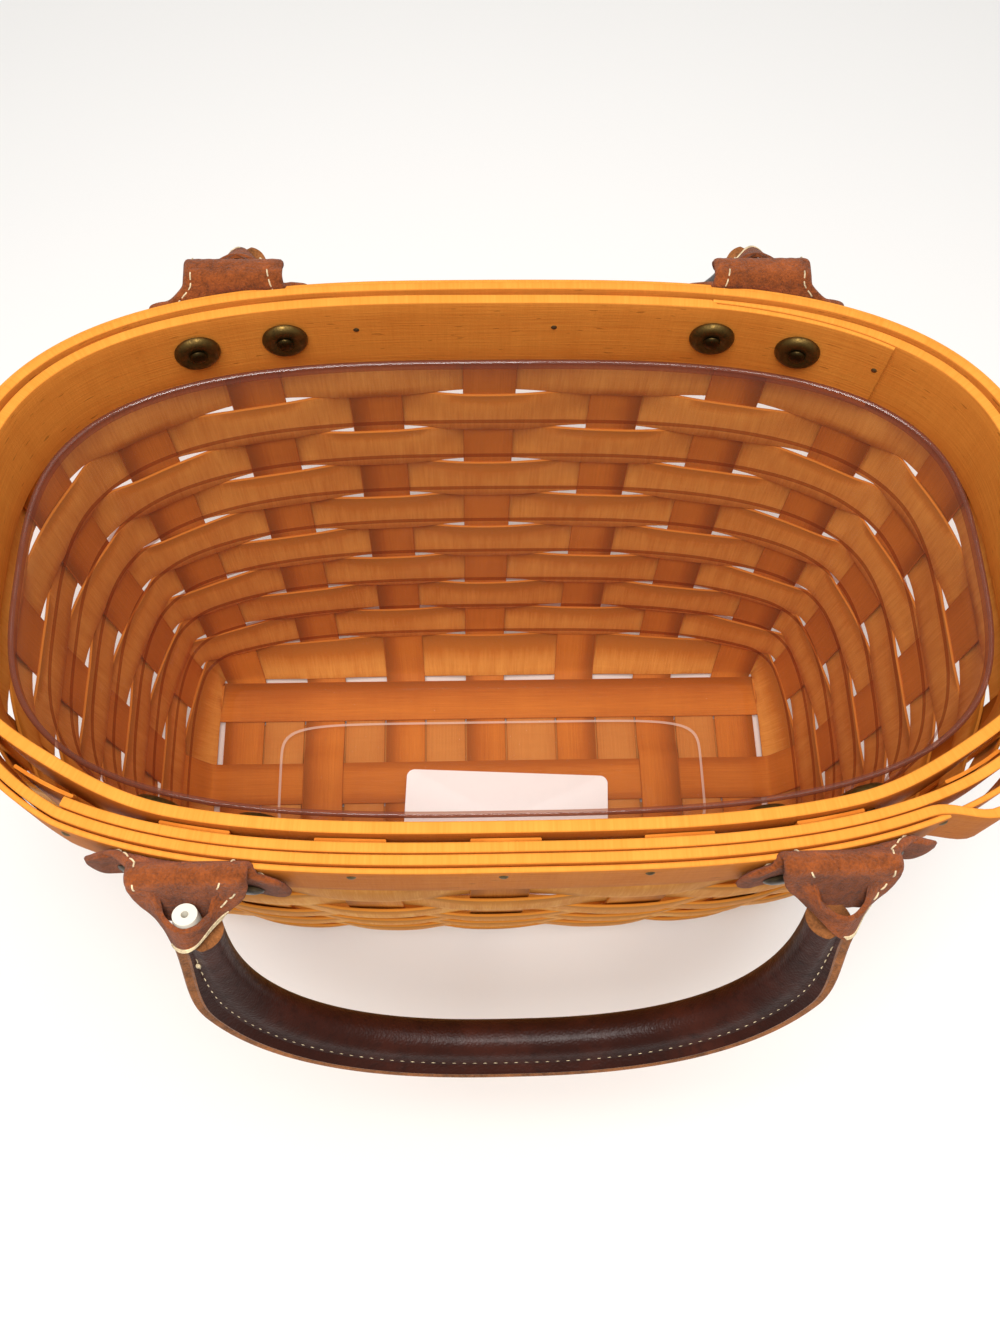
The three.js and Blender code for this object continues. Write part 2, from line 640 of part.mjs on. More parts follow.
function strapGeometry(side, hand) {
  const xs = Array.from({ length: STRAP_STEPS + 1 },
    (_, i) => hand * EAR_X + (STRAP.wing + STRAP.thick) * (2 * i / STRAP_STEPS - 1));
  const at = (x, extra) => {
    const p = rimAtX(x, side);
    p.addScaledVector(rimNormal(p), strapFace(ovalShareAt(p)) + extra);
    return new THREE.Vector2(p.x, p.y);
  };
  const outline = [...xs.map((x) => at(x, 0)), ...xs.map((x) => at(x, STRAP.thick)).reverse()];
  const bottom = rimTop - STRAP.wingLow - STRAP.thick;
  const lipTop = hingeZ + STRAP.lipThick / 2;
  const plate = new THREE.ExtrudeGeometry(new THREE.Shape(outline),
    { depth: lipTop - bottom, bevelEnabled: false, steps: 1 }).translate(0, 0, bottom);
  const front = new THREE.Shape();
  const { wing, body, corner: nose } = STRAP;
  const [low, wingTop] = [rimTop - STRAP.wingLow, rimTop - STRAP.wingTop];
  front.moveTo(-wing + nose, low);
  front.lineTo(wing - nose, low);
  front.quadraticCurveTo(wing, low, wing, low + nose);
  front.lineTo(wing, wingTop - nose / 2);
  front.quadraticCurveTo(wing, wingTop, wing - nose / 2, wingTop);
  front.lineTo(body + nose / 4, wingTop + nose / 4);
  front.lineTo(body, lipTop);
  front.lineTo(-body, lipTop);
  front.lineTo(-body - nose / 4, wingTop + nose / 4);
  front.lineTo(-wing + nose / 2, wingTop);
  front.quadraticCurveTo(-wing, wingTop, -wing, wingTop - nose / 2);
  front.lineTo(-wing, low + nose);
  front.quadraticCurveTo(-wing, low, -wing + nose, low);
  const cutter = new THREE.ExtrudeGeometry(front,
    { depth: 2 * hingeY, bevelEnabled: false, steps: 1, curveSegments: CURVE_SEGMENTS })
    .rotateX(Math.PI / 2).translate(hand * EAR_X, side > 0 ? 2 * hingeY : 0, 0);
  const root = at(hand * EAR_X, 0).y;
  const lipReach = side * (hingeY - TAB.thick / 2 - SEAT);
  const lip = new THREE.BoxGeometry(2 * STRAP.body, Math.abs(lipReach - root), STRAP.lipThick)
    .translate(hand * EAR_X, (lipReach + root) / 2, hingeZ);
  let solid = solidOf(plate).intersect(solidOf(cutter))
    .add(solidOf(lip).subtract(bandShadow()));
  solid = bores.reduce((left, bore) => left.subtract(bore), solid);
  return geometryOf(solid);
}

// Everything inside the strap's seat, to trim the root of a lip by
function bandShadow() {
  const outline = rimShares(RIM_SAG / 8).map((share) => {
    const p = rimPoint(share, strapFace(share));
    return new THREE.Vector2(p.x, p.y);
  });
  return solidOf(new THREE.ExtrudeGeometry(new THREE.Shape(outline),
    { depth: 2 * rimTop, bevelEnabled: false, steps: 1 }));
}

// Handles, made about their fold: X along it, -Z down the hanging handle, -Y outward

class Bail extends THREE.Curve {
  constructor(start, end) {
    super();
    this.start = start;
    this.end = end;
  }

  getPoint(t, target = vec(0, 0, 0)) {
    const angle = THREE.MathUtils.lerp(this.start, this.end, t);
    return target.set(-BAIL.halfSpan * bailPower(Math.cos(angle)),
      -BAIL.start - BAIL.depth * bailPower(Math.sin(angle)), 0);
  }
}

const bailPower = (value) => Math.sign(value) * Math.abs(value) ** (2 / BAIL.power);
const bailAngle = (drop) => {
  const share = THREE.MathUtils.clamp((drop - BAIL.start) / BAIL.depth, -1, 1);
  return Math.asin(Math.sign(share) * Math.abs(share) ** (BAIL.power / 2));
};
const bailDrift = (drop) => BAIL.halfSpan * bailPower(Math.cos(bailAngle(drop))) - EAR_X;
// A level cut through the slanted core is this much wider than the core
const bailSlant = (drop) => Math.hypot(1, bailDrift(drop + 1) - bailDrift(drop));
const footAngle = bailAngle(TAB.foot + LEATHER.setDown);

// Sections run in the frame of the sweep. The flange leans from the plane of the U to the
// outside, by its tilt.
function leatherSection(curve) {
  const inner = CORE.radius + LEATHER.play;
  const outer = inner + LEATHER.thick;
  const half = LEATHER.flangeThick / 2;
  const root = Math.asin(half / outer);
  const frames = curve.computeFrenetFrames(2, false);
  const outwards = frames.binormals[1].y < 0 ? 1 : -1;
  const front = frames.normals[1].z > 0 ? 1 : -1;
  const tilt = radians(LEATHER.tilt);
  const place = (side, up) => new THREE.Vector2(
    front * (side * Math.cos(tilt) + up * Math.sin(tilt)),
    outwards * (up * Math.cos(tilt) - side * Math.sin(tilt)));
  const tip = outer + LEATHER.flange;
  const steps = 8;
  const turns = Array.from({ length: steps + 1 },
    (_, i) => root + (2 * Math.PI - 2 * root) * i / steps);
  const shape = new THREE.Shape([
    place(half, tip),
    ...turns.map((angle) => place(outer * Math.sin(angle), outer * Math.cos(angle))),
    place(-half, tip),
  ]);
  const hole = new THREE.Path();
  hole.absarc(0, 0, inner, 0, 2 * Math.PI);
  shape.holes.push(hole);
  return shape;
}

function coreSection() {
  const shape = new THREE.Shape();
  shape.absarc(0, 0, CORE.radius, 0, 2 * Math.PI);
  const hole = new THREE.Path();
  hole.absarc(0, 0, CORE.bore, 0, 2 * Math.PI);
  shape.holes.push(hole);
  return shape;
}

// From the flat sweep into the handle's frame: its Y runs up, its X along the fold
const standUp = (geometry) => geometry.rotateX(Math.PI / 2).translate(0, -CORE_OFFSET, 0);

function leatherGeometry() {
  const curve = new Bail(footAngle, Math.PI - footAngle);
  return standUp(new THREE.ExtrudeGeometry(leatherSection(curve),
    { extrudePath: curve, steps: BAIL_STEPS, curveSegments: CURVE_SEGMENTS }));
}

function coreGeometry() {
  const end = bailAngle(CORE.top);
  return standUp(new THREE.ExtrudeGeometry(coreSection(),
    { extrudePath: new Bail(end, Math.PI - end), steps: BAIL_STEPS, curveSegments: CURVE_SEGMENTS }));
}

// Ear tab: a leather layer from the fold down, with a pouch sewn on for the core's end

function pouchRing(drop, half, front, back, size) {
  const drift = bailDrift(drop);
  return Array.from({ length: size }, (_, i) => {
    const turn = 2 * Math.PI * i / size;
    const across = Math.cos(turn);
    const lens = Math.sin(turn) * Math.sqrt(Math.abs(Math.sin(turn)));
    const y = -CORE_OFFSET - (lens > 0 ? lens * front : lens * back);
    return vec(drift + half * across, y, -drop);
  });
}

function tabGeometry(hand) {
  const outline = new THREE.Shape();
  const foot = bailDrift(TAB.foot);
  outline.moveTo(-TAB.half, 0);
  outline.lineTo(TAB.half, 0);
  outline.quadraticCurveTo(TAB.half, -TAB.foot / 3, foot + TAB.footHalf, -TAB.foot);
  outline.lineTo(foot - TAB.footHalf, -TAB.foot);
  outline.quadraticCurveTo(-TAB.half, -TAB.foot / 3, -TAB.half, 0);
  const layer = new THREE.ExtrudeGeometry(outline,
    { depth: TAB.thick, bevelEnabled: false, steps: 1, curveSegments: TAB.edgeSegments })
    .translate(0, 0, -TAB.thick / 2).rotateX(Math.PI / 2);
  const bead = new THREE.CylinderGeometry(TAB.thick / 2, TAB.thick / 2, 2 * TAB.half, 8)
    .rotateZ(Math.PI / 2);
  const around = CORE.radius + SEAT;
  const back = CORE_OFFSET - TAB.thick / 4;
  const shell = (drop, half) =>
    pouchRing(drop, half, around + POUCH.layer, back, POUCH.sides);
  const pouch = sweepRings([
    shell(TAB.mouth, TAB.half - POUCH.mouthSeam),
    shell(TAB.mouth + POUCH.shoulder, TAB.half - POUCH.shoulderSeam),
    shell(TAB.foot, TAB.footHalf),
  ], false);
  const bore = (drop) => pouchRing(drop, around * bailSlant(drop) + POUCH.play,
    around + SEAT, around + SEAT, POUCH.boreSides);
  const mouth = sweepRings([
    pouchRing(TAB.mouth - POUCH.overlap, POUCH.mouthHalf, around, around, POUCH.boreSides),
    bore(TAB.mouth + POUCH.throat), bore(TAB.mouth + POUCH.waist), bore(TAB.foot + POUCH.overlap),
  ], false);
  const solid = solidOf(layer).add(solidOf(bead)).add(solidOf(pouch)).subtract(solidOf(mouth));
  const geometry = geometryOf(solid);
  if (hand > 0) return geometry;
  return mirrored(geometry);
}

function mirrored(geometry) {
  const positions = Array.from(geometry.attributes.position.array);
  const points = [];
  for (let i = 0; i < positions.length; i += 3) {
    points.push(vec(-positions[i], positions[i + 1], positions[i + 2]));
  }
  return bodyFrom(points, Array.from(geometry.index.array));
}

for (const side of [-1, 1]) {
  const place = insideName[side];
  for (const hand of [-1, 1]) {
    addMesh(basket, `${place}_ear_strap_${handName[hand]}`, strapGeometry(side, hand),
      MATERIALS.suede);
  }
  const turn = new THREE.Group();
  turn.rotation.z = side > 0 ? Math.PI : 0;
  const handle = new THREE.Group();
  handle.position.set(0, -hingeY, hingeZ);
  handle.rotation.x = -radians(HANG);
  turn.add(handle);
  basket.add(turn);
  addMesh(handle, `${place}_handle_leather`, leatherGeometry(), MATERIALS.leather);
  addMesh(handle, `${place}_handle_core`, coreGeometry(), MATERIALS.core);
  for (const hand of [-1, 1]) {
    const seen = side > 0 ? -hand : hand;
    const tab = addMesh(handle, `${place}_ear_tab_${handName[seen]}`, tabGeometry(hand),
      MATERIALS.suede);
    tab.position.x = hand * EAR_X;
  }
}

// Liner

function linerRing(height, inset) {
  const points = [];
  stakeSides.forEach((side, i) => {
    const here = frameAt(side, height);
    const next = frameAt(stakeSides[(i + 1) % stakeSides.length], height);
    const chord = here.point.distanceTo(next.point);
    for (let step = 0; step < LINER_SPAN; step++) {
      const t = step / LINER_SPAN;
      const blend = t * t * (3 - 2 * t);
      const p = here.point.clone().lerp(next.point, blend)
        .addScaledVector(here.tangent, chord * t * (1 - t) ** 2)
        .addScaledVector(next.tangent, -chord * t * t * (1 - t));
      const inward = here.tangent.clone().lerp(next.tangent, t).cross(vec(0, 0, 1)).normalize();
      points.push(p.addScaledVector(inward, -inset));
    }
  });
  return points;
}
const flattened = (ring, z) => ring.map((p) => vec(p.x, p.y, z));
const panelRing = (ring, inset, z) => {
  const [a, b] = [LINER_PANEL.halfLength - inset, LINER_PANEL.halfWidth - inset];
  const longest = Math.max(...ring.map((p) => p.x));
  const widest = Math.max(...ring.map((p) => p.y));
  return ring.map((p) => {
    const [u, v] = [p.x / longest, p.y / widest];
    const size = (Math.abs(u) ** LINER_PANEL.power + Math.abs(v) ** LINER_PANEL.power)
      ** (1 / LINER_PANEL.power);
    return vec(a * u / size, b * v / size, z);
  });
};

function linerGeometry() {
  const { wall, inset, footInset, floorInset, lipInset, lipWidth, lipRoll, lipNeck } = LINER;
  const floor = layerZ(2) + SPLINT_THICK / 2 + SEAT;
  const raised = floor + LINER_PANEL.rise;
  const top = levels.length - 1;
  const lipZ = rimTop - LINER.lipDrop;
  const lipOuter = SPLINT_THICK / 2 + STAKE_PLAY + INNER_BAND.thick + lipInset;
  const base = linerRing(0, floorInset);
  const wallRing = (height, i, extra) => linerRing(height, (i === 0 ? footInset : inset) + extra);
  const outer = [
    panelRing(base, LINER_PANEL.bevel, raised), panelRing(base, 0, floor),
    flattened(base, floor), ...LINER_LEVELS.map((height, i) => wallRing(height, i, 0)),
    flattened(linerRing(top, lipOuter + lipWidth), lipZ - lipRoll - lipNeck),
    flattened(linerRing(top, lipOuter), lipZ - lipRoll),
    flattened(linerRing(top, lipOuter), lipZ),
    flattened(linerRing(top, lipOuter + lipWidth), lipZ),
  ];
  const inner = [
    flattened(linerRing(top, lipOuter + lipWidth + wall), lipZ - lipNeck),
    ...LINER_LEVELS.map((height, i) => wallRing(height, i, wall)).reverse(),
    flattened(linerRing(0, floorInset + wall), floor + wall),
    panelRing(base, 0, floor + wall), panelRing(base, LINER_PANEL.bevel, raised + wall),
  ];
  return sweepRings([...outer, ...inner], false);
}
addMesh(basket, 'clear_liner', linerGeometry(), MATERIALS.clear);

export default basket;
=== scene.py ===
"""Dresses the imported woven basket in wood, leather, brass and clear plastic.

Shapes are worked out in millimetres from two parameters on a grid, and go into
Blender in metres.
"""
import math

import bpy
import numpy as np
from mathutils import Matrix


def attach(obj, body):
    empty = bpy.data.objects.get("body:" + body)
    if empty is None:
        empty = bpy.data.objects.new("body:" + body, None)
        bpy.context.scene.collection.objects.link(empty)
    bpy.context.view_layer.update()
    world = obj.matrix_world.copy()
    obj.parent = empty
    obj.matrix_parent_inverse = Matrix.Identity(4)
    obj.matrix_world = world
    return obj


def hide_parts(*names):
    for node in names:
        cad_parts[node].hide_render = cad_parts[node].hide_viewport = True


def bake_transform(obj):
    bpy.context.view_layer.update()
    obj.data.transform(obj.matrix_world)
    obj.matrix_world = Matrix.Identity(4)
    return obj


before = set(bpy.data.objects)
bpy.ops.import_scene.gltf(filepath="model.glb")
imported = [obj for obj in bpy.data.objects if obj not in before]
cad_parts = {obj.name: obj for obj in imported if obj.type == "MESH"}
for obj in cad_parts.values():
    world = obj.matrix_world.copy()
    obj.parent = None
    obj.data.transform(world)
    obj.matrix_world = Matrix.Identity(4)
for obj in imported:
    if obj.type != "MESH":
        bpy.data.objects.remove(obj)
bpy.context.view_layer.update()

bl_info = {
    "name": "Woven splint basket",
    "version": (1, 0, 0),
    "blender": (4, 5, 0),
    "location": "View3D > Sidebar > Basket",
    "description": "Builds the looks of a woven splint basket over its packed frame",
    "category": "Object",
}

MM = 0.001
TAU = 2 * math.pi
WOOD_SHARP = 38.0
LEATHER_SHARP = 60.0

# Rim oval, as the middle line of the stakes
OVAL_HALF = np.array([143.0, 79.6])
OVAL_POWER = 3.0
OVAL_STEPS = 14401

# Base and wall
SPLINT_THICK = 1.2
SEAT = 0.3
CROSS_WIDTH = 17.0
WIDE_FILLER = 21.4
WIDE_PLACE = 7
LONG_WIDTH = 18.2
SPLINT_GAP = 0.5
CROSS_COUNT = 13
LONG_COUNT = 5
WEAVER_WIDTH = 18.55
ROW_GAP = 0.7
ROW_SLIT = 0.15
WEAVE_STEP = 2.0
WEAVE_INSIDE = 1.15
WEAVE_CUP = 0.6
WEAVER_THICK = 0.95
STAKE_THICK = 0.9
# Painted shade on the outside of the wall's splints: how far their tone falls there
OUTSIDE_SHADE = 0.8
SPLINT_EDGE = 0.04
FACE_STRIPS = 5
WEAVE_SWELL = 0.1
HEEL_LENGTH = 6.0
HEEL_SLOPE = 20.0
ROW_SLOPES = [52, 76, 82, 82, 82, 82, 84, 87, 89, 90]
STAKE_TUCK = 3.0
STAKE_PLAY = 0.35
BOW_REACH = 0.82
CORNER_FULLNESS = 5.8
LEAST_CROWN = 0.12
HUMP_REACH = 10.3
HUMP_RUN = 7.0
WALL_STATIONS = 150
BASE_STATIONS = 90
STRIP_STATIONS = 60
KNOT_PARTS = 7
THREAD_SIDES = 6

# Rim bands
BAND_RISE = 1.2
INNER_BAND = {"thick": 3.1, "height": 28.0, "start": 0.098, "lap": 0.07, "tip": 1.1,
              "stations": 460}
OUTER_BAND = {"thick": 2.6, "height": 21.0, "start": 0.609, "lap": 0.29, "blend": 0.03,
              "stations": 560}
TRIM = {"thick": 1.5, "height": 19.0, "drop": 1.2, "start": 0.889, "gap": 0.004,
        "stations": 440}
CORNER_SLACK = 2.6
SLACK_PLACES = (0.592, 0.908)
SLACK_REACH = 0.05
BAND_EASE = 0.55
INNER_TORN = (-2.5, -1.0, 1.6, 0.2, 3.0, 1.2, 2.6)
TORN_STATIONS = 9
SPRING = 7.0
SPRING_REACH = 0.022

# Ears and handles
EAR_X = 75.9
RIVET_SPREAD = 12.8
RIVET_DROP = 12.5
STRAP_THICK = 2.0
EAR_HALF = 14.0
WING_HALF = 22.5
WING_LOW = 19.5
INNER_CURL = 0.45
HINGE_Y = 89.109
HINGE_RISE = 1.6
HANG = 19.0
TAB_MOUTH = 7.0
CORE_RADIUS = 3.3
CORE_BORE = 0.9
CORE_TOP = 6.6
CORE_OFFSET = 4.7
POUCH_MOUTH = 5.0
TUBE_SHIFT = 2.0
TUBE_TOPS = {-1: (CORE_TOP, 15.5), 1: (15.5, 15.5)}
GRIP_RADIUS = 5.75
FLANGE = 4.2
FLANGE_THICK = 3.2
FLANGE_TILT = 50.0
BAIL_SPAN = 74.4
BAIL_START = 12.0
BAIL_DEPTH = 66.0
BAIL_POWER = 2.5

# Floor, in metres, and the camera solved from the photograph
FLOOR_HALF = 3.0
FLOOR_Z = -0.0002
CAMERA_PLACE = (-0.012075, -0.1484, 0.4914)
CAMERA_PITCH = 67.49
CAMERA_YAW = 4.74
CAMERA_ROLL = -3.65
CAMERA_LENS = 31.946


# Sizes and colours that a user would change


def rgb(red, green, blue):
    """A colour of the screen, 0 to 255, as the linear colour that shaders take."""
    screen = np.array([red, green, blue]) / 255.0
    linear = np.where(screen <= 0.04045, screen / 12.92, ((screen + 0.055) / 1.055) ** 2.4)
    return tuple(float(value) for value in linear)


def colour(name, description, default):
    return bpy.props.FloatVectorProperty(
        name=name, description=description, subtype="COLOR", size=3, min=0.0, max=1.0,
        default=rgb(*default))


def length(name, description, default):
    return bpy.props.FloatProperty(
        name=name, description=description, subtype="DISTANCE", unit="LENGTH",
        default=default * MM)


class BasketWood(bpy.types.PropertyGroup):
    weaver_pale: colour("Weaver, pale", "Lightest tone of the weavers", (250, 190, 94))
    weaver_deep: colour("Weaver, deep", "Darkest tone of the weavers", (214, 138, 54))
    stake_pale: colour("Stake, pale", "Lightest tone of the stakes", (232, 152, 58))
    stake_deep: colour("Stake, deep", "Darkest tone of the stakes", (190, 110, 36))
    base_pale: colour("Base, pale", "Lightest tone of the base", (226, 164, 84))
    base_deep: colour("Base, deep", "Darkest tone of the base", (192, 122, 54))
    band_pale: colour("Band, pale", "Lightest tone of the rim bands", (232, 152, 64))
    band_deep: colour("Band, deep", "Darkest tone of the rim bands", (194, 110, 38))
    edge_pale: colour("Cut edge", "Tone of the sawn edges of the bands", (214, 134, 50))
    waviness: length("Waviness", "How far the edge of a splint wanders", 0.18)


class BasketLeather(bpy.types.PropertyGroup):
    handle: colour("Handle", "Smooth side of the handle leather", (44, 18, 11))
    raw_edge: colour("Raw edge", "Cut edge of the handle leather", (134, 82, 42))
    suede: colour("Ears", "Rough leather of the ears", (136, 68, 26))
    thread: colour("Thread", "Sewing thread", (214, 190, 152))
    stitch: length("Stitch", "Length of one stitch on the handles", 2.0)


class BasketFittings(bpy.types.PropertyGroup):
    brass: colour("Brass", "Washers and rivets", (112, 88, 44))
    steel: colour("Tacks", "Heads of the tacks", (128, 108, 74))
    tube: colour("Tube", "Plastic tube inside the handles", (226, 220, 204))
    liner_tint: colour("Liner", "Tint of the clear liner", (246, 236, 232))
    card: colour("Card", "Blank card in the basket", (250, 248, 245))
    liner_step: length("Liner step", "Depth of the steps in the liner's wall", 0.8)


def power(name, description, default):
    return bpy.props.FloatProperty(
        name=name, description=description, unit="POWER", default=default)


class BasketStage(bpy.types.PropertyGroup):
    floor: colour("Floor", "Plain floor under the basket", (244, 243, 241))
    key: power("Key light", "Power of the large soft lamp", 8.2)
    fill: power("Fill light", "Power of the lamp on the other side", 5.0)
    front: power("Front light", "Power of the lamp over the camera", 0.9)
    sky: bpy.props.FloatProperty(
        name="Surroundings", description="Strength of the even light all round", default=0.38)


# Grids of points into meshes


def unit(vectors):
    return vectors / np.linalg.norm(vectors, axis=-1, keepdims=True)


def lerp(a, b, share):
    return a + (b - a) * share


def ease(value):
    """0 before 0, 1 after 1, and between them the curve 3t^2 - 2t^3."""
    t = np.clip(value, 0.0, 1.0)
    return t * t * (3.0 - 2.0 * t)


def cubic(t, start, leave, finish, arrive):
    """The cubic from start to finish whose slopes at its ends are leave and arrive."""
    return ((2 * t**3 - 3 * t**2 + 1) * start + (t**3 - 2 * t**2 + t) * leave
            + (3 * t**2 - 2 * t**3) * finish + (t**3 - t**2) * arrive)


def spokes(first, second, count):
    """Directions once round a circle, from first through second: cos * first + sin * second."""
    turn = TAU * np.arange(count) / count
    return (np.cos(turn)[:, None] * first[..., None, :]
            + np.sin(turn)[:, None] * second[..., None, :])


def compass(angle):
    return np.stack([np.cos(angle), np.sin(angle)], axis=-1)


def cos_sin(degrees):
    turn = math.radians(degrees)
    return math.cos(turn), math.sin(turn)


def run_length(points):
    """Length along a row of points, 0 at the first."""
    steps = np.linalg.norm(np.diff(points, axis=0), axis=-1)
    return np.concatenate([[0.0], np.cumsum(steps)])


def wander(places, seed, waves):
    """A smooth wandering between about -1 and 1: sines of whole rates and seeded phases."""
    rng = np.random.default_rng(seed)
    total = np.zeros_like(places, dtype=float)
    for wave in waves:
        total += np.sin(TAU * (wave * places + rng.random())) / (1.0 + 0.4 * wave)
    return total


def surface(grid, closed_along=False, caps=True, run=None, across=None, material=0, tone=0.0):
    """A skin over grid[i, j]: i runs along the piece and j round its closed section.

    run[i] and across[i, j] become the two coordinates of the grain map. The faces are turned
    outward by the sign of the volume, the sum of each face's corner . (corner x corner).
    """
    rows, cols = grid.shape[:2]
    ii, jj = np.meshgrid(np.arange(rows if closed_along else rows - 1), np.arange(cols),
                         indexing="ij")
    nxt_i, nxt_j = (ii + 1) % rows, (jj + 1) % cols
    quads = np.stack([ii * cols + jj, nxt_i * cols + jj, nxt_i * cols + nxt_j,
                      ii * cols + nxt_j], axis=-1).reshape(-1, 4)
    if run is None:
        run = run_length(grid.mean(axis=1))
    last = np.linalg.norm(grid[0].mean(0) - grid[-1].mean(0)) if closed_along else 0.0
    run = np.append(run, run[-1] + last)
    across = np.broadcast_to(0.0 if across is None else across, (rows, cols))
    corner_u = np.stack([run[ii], run[ii + 1], run[ii + 1], run[ii]], axis=-1)
    corner_v = np.stack([across[ii, jj], across[nxt_i, jj], across[nxt_i, nxt_j],
                         across[ii, nxt_j]], axis=-1)
    uv = np.stack([corner_u, corner_v], axis=-1).reshape(-1, 4, 2)
    strip = np.broadcast_to(np.asarray(material), (cols,))
    points = grid.reshape(-1, 3)
    ends = []
    if caps and not closed_along:
        ends = [np.arange(cols)[::-1], (rows - 1) * cols + np.arange(cols)]
    corners = points[quads]
    volume = sum(np.einsum("ij,ij->i", corners[:, 0], np.cross(corners[:, k], corners[:, k + 1])
                           ).sum() for k in (1, 2))
    for end in ends:
        middle = points[end].mean(axis=0)
        fan = np.cross(points[end] - middle, points[np.roll(end, -1)] - middle)
        volume += (fan @ middle).sum()
    if volume < 0:
        quads, uv = quads[:, ::-1], uv[:, ::-1]
        ends = [end[::-1] for end in ends]
    return {"points": points, "quads": quads, "uv": uv, "kinds": strip[jj].reshape(-1),
            "ends": ends, "end_uv": np.stack([np.repeat(run[:rows], cols), across.reshape(-1)],
                                             axis=-1),
            "end_kind": int(strip[-1]),
            "tones": np.broadcast_to(np.asarray(tone, dtype=float), (rows, cols)).reshape(-1)}


def assemble(name, skins, materials, sharp=WOOD_SHARP):
    """One mesh object, at the origin, from the skins, in metres."""
    faces, kinds, uvs, start = [], [], [], 0
    for skin in skins:
        faces += (skin["quads"] + start).tolist()
        kinds.append(skin["kinds"])
        uvs.append(skin["uv"].reshape(-1, 2))
        for end in skin["ends"]:
            faces.append((end + start).tolist())
            kinds.append([skin["end_kind"]])
            uvs.append(skin["end_uv"][end])
        start += len(skin["points"])
    mesh = bpy.data.meshes.new(name)
    points = np.concatenate([skin["points"] for skin in skins]) * MM
    mesh.from_pydata(points.tolist(), [], faces)
    layer = mesh.uv_layers.new(name="grain")
    layer.data.foreach_set("uv", (np.concatenate(uvs) * MM).astype(np.float32).reshape(-1))
    tone = mesh.attributes.new("tone", "FLOAT", "POINT")
    tone.data.foreach_set("value", np.concatenate([skin["tones"] for skin in skins])
                          .astype(np.float32))
    for material in materials:
        mesh.materials.append(material)
    mesh.polygons.foreach_set("material_index", np.concatenate(kinds).astype(np.int32))
    mesh.polygons.foreach_set("use_smooth", np.ones(len(mesh.polygons), dtype=bool))
    mesh.update()
    mesh.set_sharp_from_angle(angle=math.radians(sharp))
    piece = bpy.data.objects.new(name, mesh)
    bpy.context.scene.collection.objects.link(piece)
    return piece


def fit(name, skins, looks, body, slot, *nodes, sharp=WOOD_SHARP):
    """A piece that rides on its body, stands for its CAD nodes and takes its finish."""
    piece = assemble(name, skins, looks, sharp)
    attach(piece, body)
    if nodes:
        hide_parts(*nodes)


def splint_profile():
    """Half widths across (a) and half thicknesses (b) round a flat splint.

    The corners are quarter circles. Strips on the cut edges are marked 1.
    """
    flat = np.linspace(-1.0 + SPLINT_EDGE, 1.0 - SPLINT_EDGE, FACE_STRIPS)
    turn = np.radians([60.0, 25.0, -25.0, -60.0])
    side_a = 1.0 - SPLINT_EDGE * (1.0 - np.cos(turn))
    a = np.concatenate([flat, side_a, flat[::-1], -side_a])
    b = np.concatenate([np.ones(FACE_STRIPS), np.sin(turn), -np.ones(FACE_STRIPS), -np.sin(turn)])
    kinds = np.zeros(len(a), dtype=int)
    kinds[FACE_STRIPS - 1:FACE_STRIPS + 4] = 1
    kinds[2 * FACE_STRIPS + 3:] = 1
    return a, b, kinds


SPLINT_A, SPLINT_B, SPLINT_KINDS = splint_profile()


def carried(centre, across, normal, a, b):
    """The profile (a, b) carried along: centre + a * across + b * normal at each station."""
    return (centre[:, None] + np.atleast_2d(a)[..., None] * across[:, None]
            + np.atleast_2d(b)[..., None] * normal[:, None])


def closed_spline(knots, parts):
    """A closed curve through knots[k]: cubic between neighbours, its direction at each the
    mean of the two chords, each weighted by the length of the other."""
    ahead = np.roll(knots, -1, axis=0) - knots
    size = np.linalg.norm(ahead, axis=-1, keepdims=True)
    back, back_size = np.roll(ahead, 1, axis=0), np.roll(size, 1, axis=0)
    slope = (ahead / size * back_size + back / back_size * size) / (size + back_size)
    t = (np.arange(parts) / parts).reshape(1, -1, *([1] * (knots.ndim - 1)))
    curve = cubic(t, knots[:, None], (slope * size)[:, None], np.roll(knots, -1, axis=0)[:, None],
                  (np.roll(slope, -1, axis=0) * size)[:, None])
    return curve.reshape(-1, *knots.shape[1:])


def softened(points, reach):
    """Points of a line smoothed by a bell weight over `reach` neighbours, its ends held."""
    offsets = np.arange(-3 * reach, 3 * reach + 1)
    weight = np.exp(-0.5 * (offsets / reach) ** 2)
    weight /= weight.sum()
    pad = 3 * reach
    head = 2 * points[0] - points[1:pad + 1][::-1]
    tail = 2 * points[-1] - points[-pad - 1:-1][::-1]
    long = np.concatenate([head, points, tail])
    windows = np.lib.stride_tricks.sliding_window_view(long, len(weight), axis=0)
    return windows @ weight


# The oval and the wall


def signed_power(value, power):
    return np.sign(value) * np.abs(value) ** power


def oval_table():
    """The oval |x/a|^3 + |y/b|^3 = 1 by angle, with the share of its length at each point."""
    xy = OVAL_HALF * signed_power(compass(np.linspace(0.0, TAU, OVAL_STEPS)), 2 / OVAL_POWER)
    run = run_length(xy)
    return xy, run / run[-1], run[-1]


OVAL_XY, OVAL_SHARE, OVAL_LENGTH = oval_table()


def oval_at(share):
    """Point of the oval at a share of its length: 0 at +X, a quarter at +Y."""
    s = np.mod(share, 1.0)
    return np.stack([np.interp(s, OVAL_SHARE, OVAL_XY[:, 0]),
                     np.interp(s, OVAL_SHARE, OVAL_XY[:, 1])], axis=-1)


def oval_normal(xy):
    """Outward direction: the slope of |x/a|^3 + |y/b|^3."""
    return unit(signed_power(xy / OVAL_HALF, OVAL_POWER - 1) / OVAL_HALF)


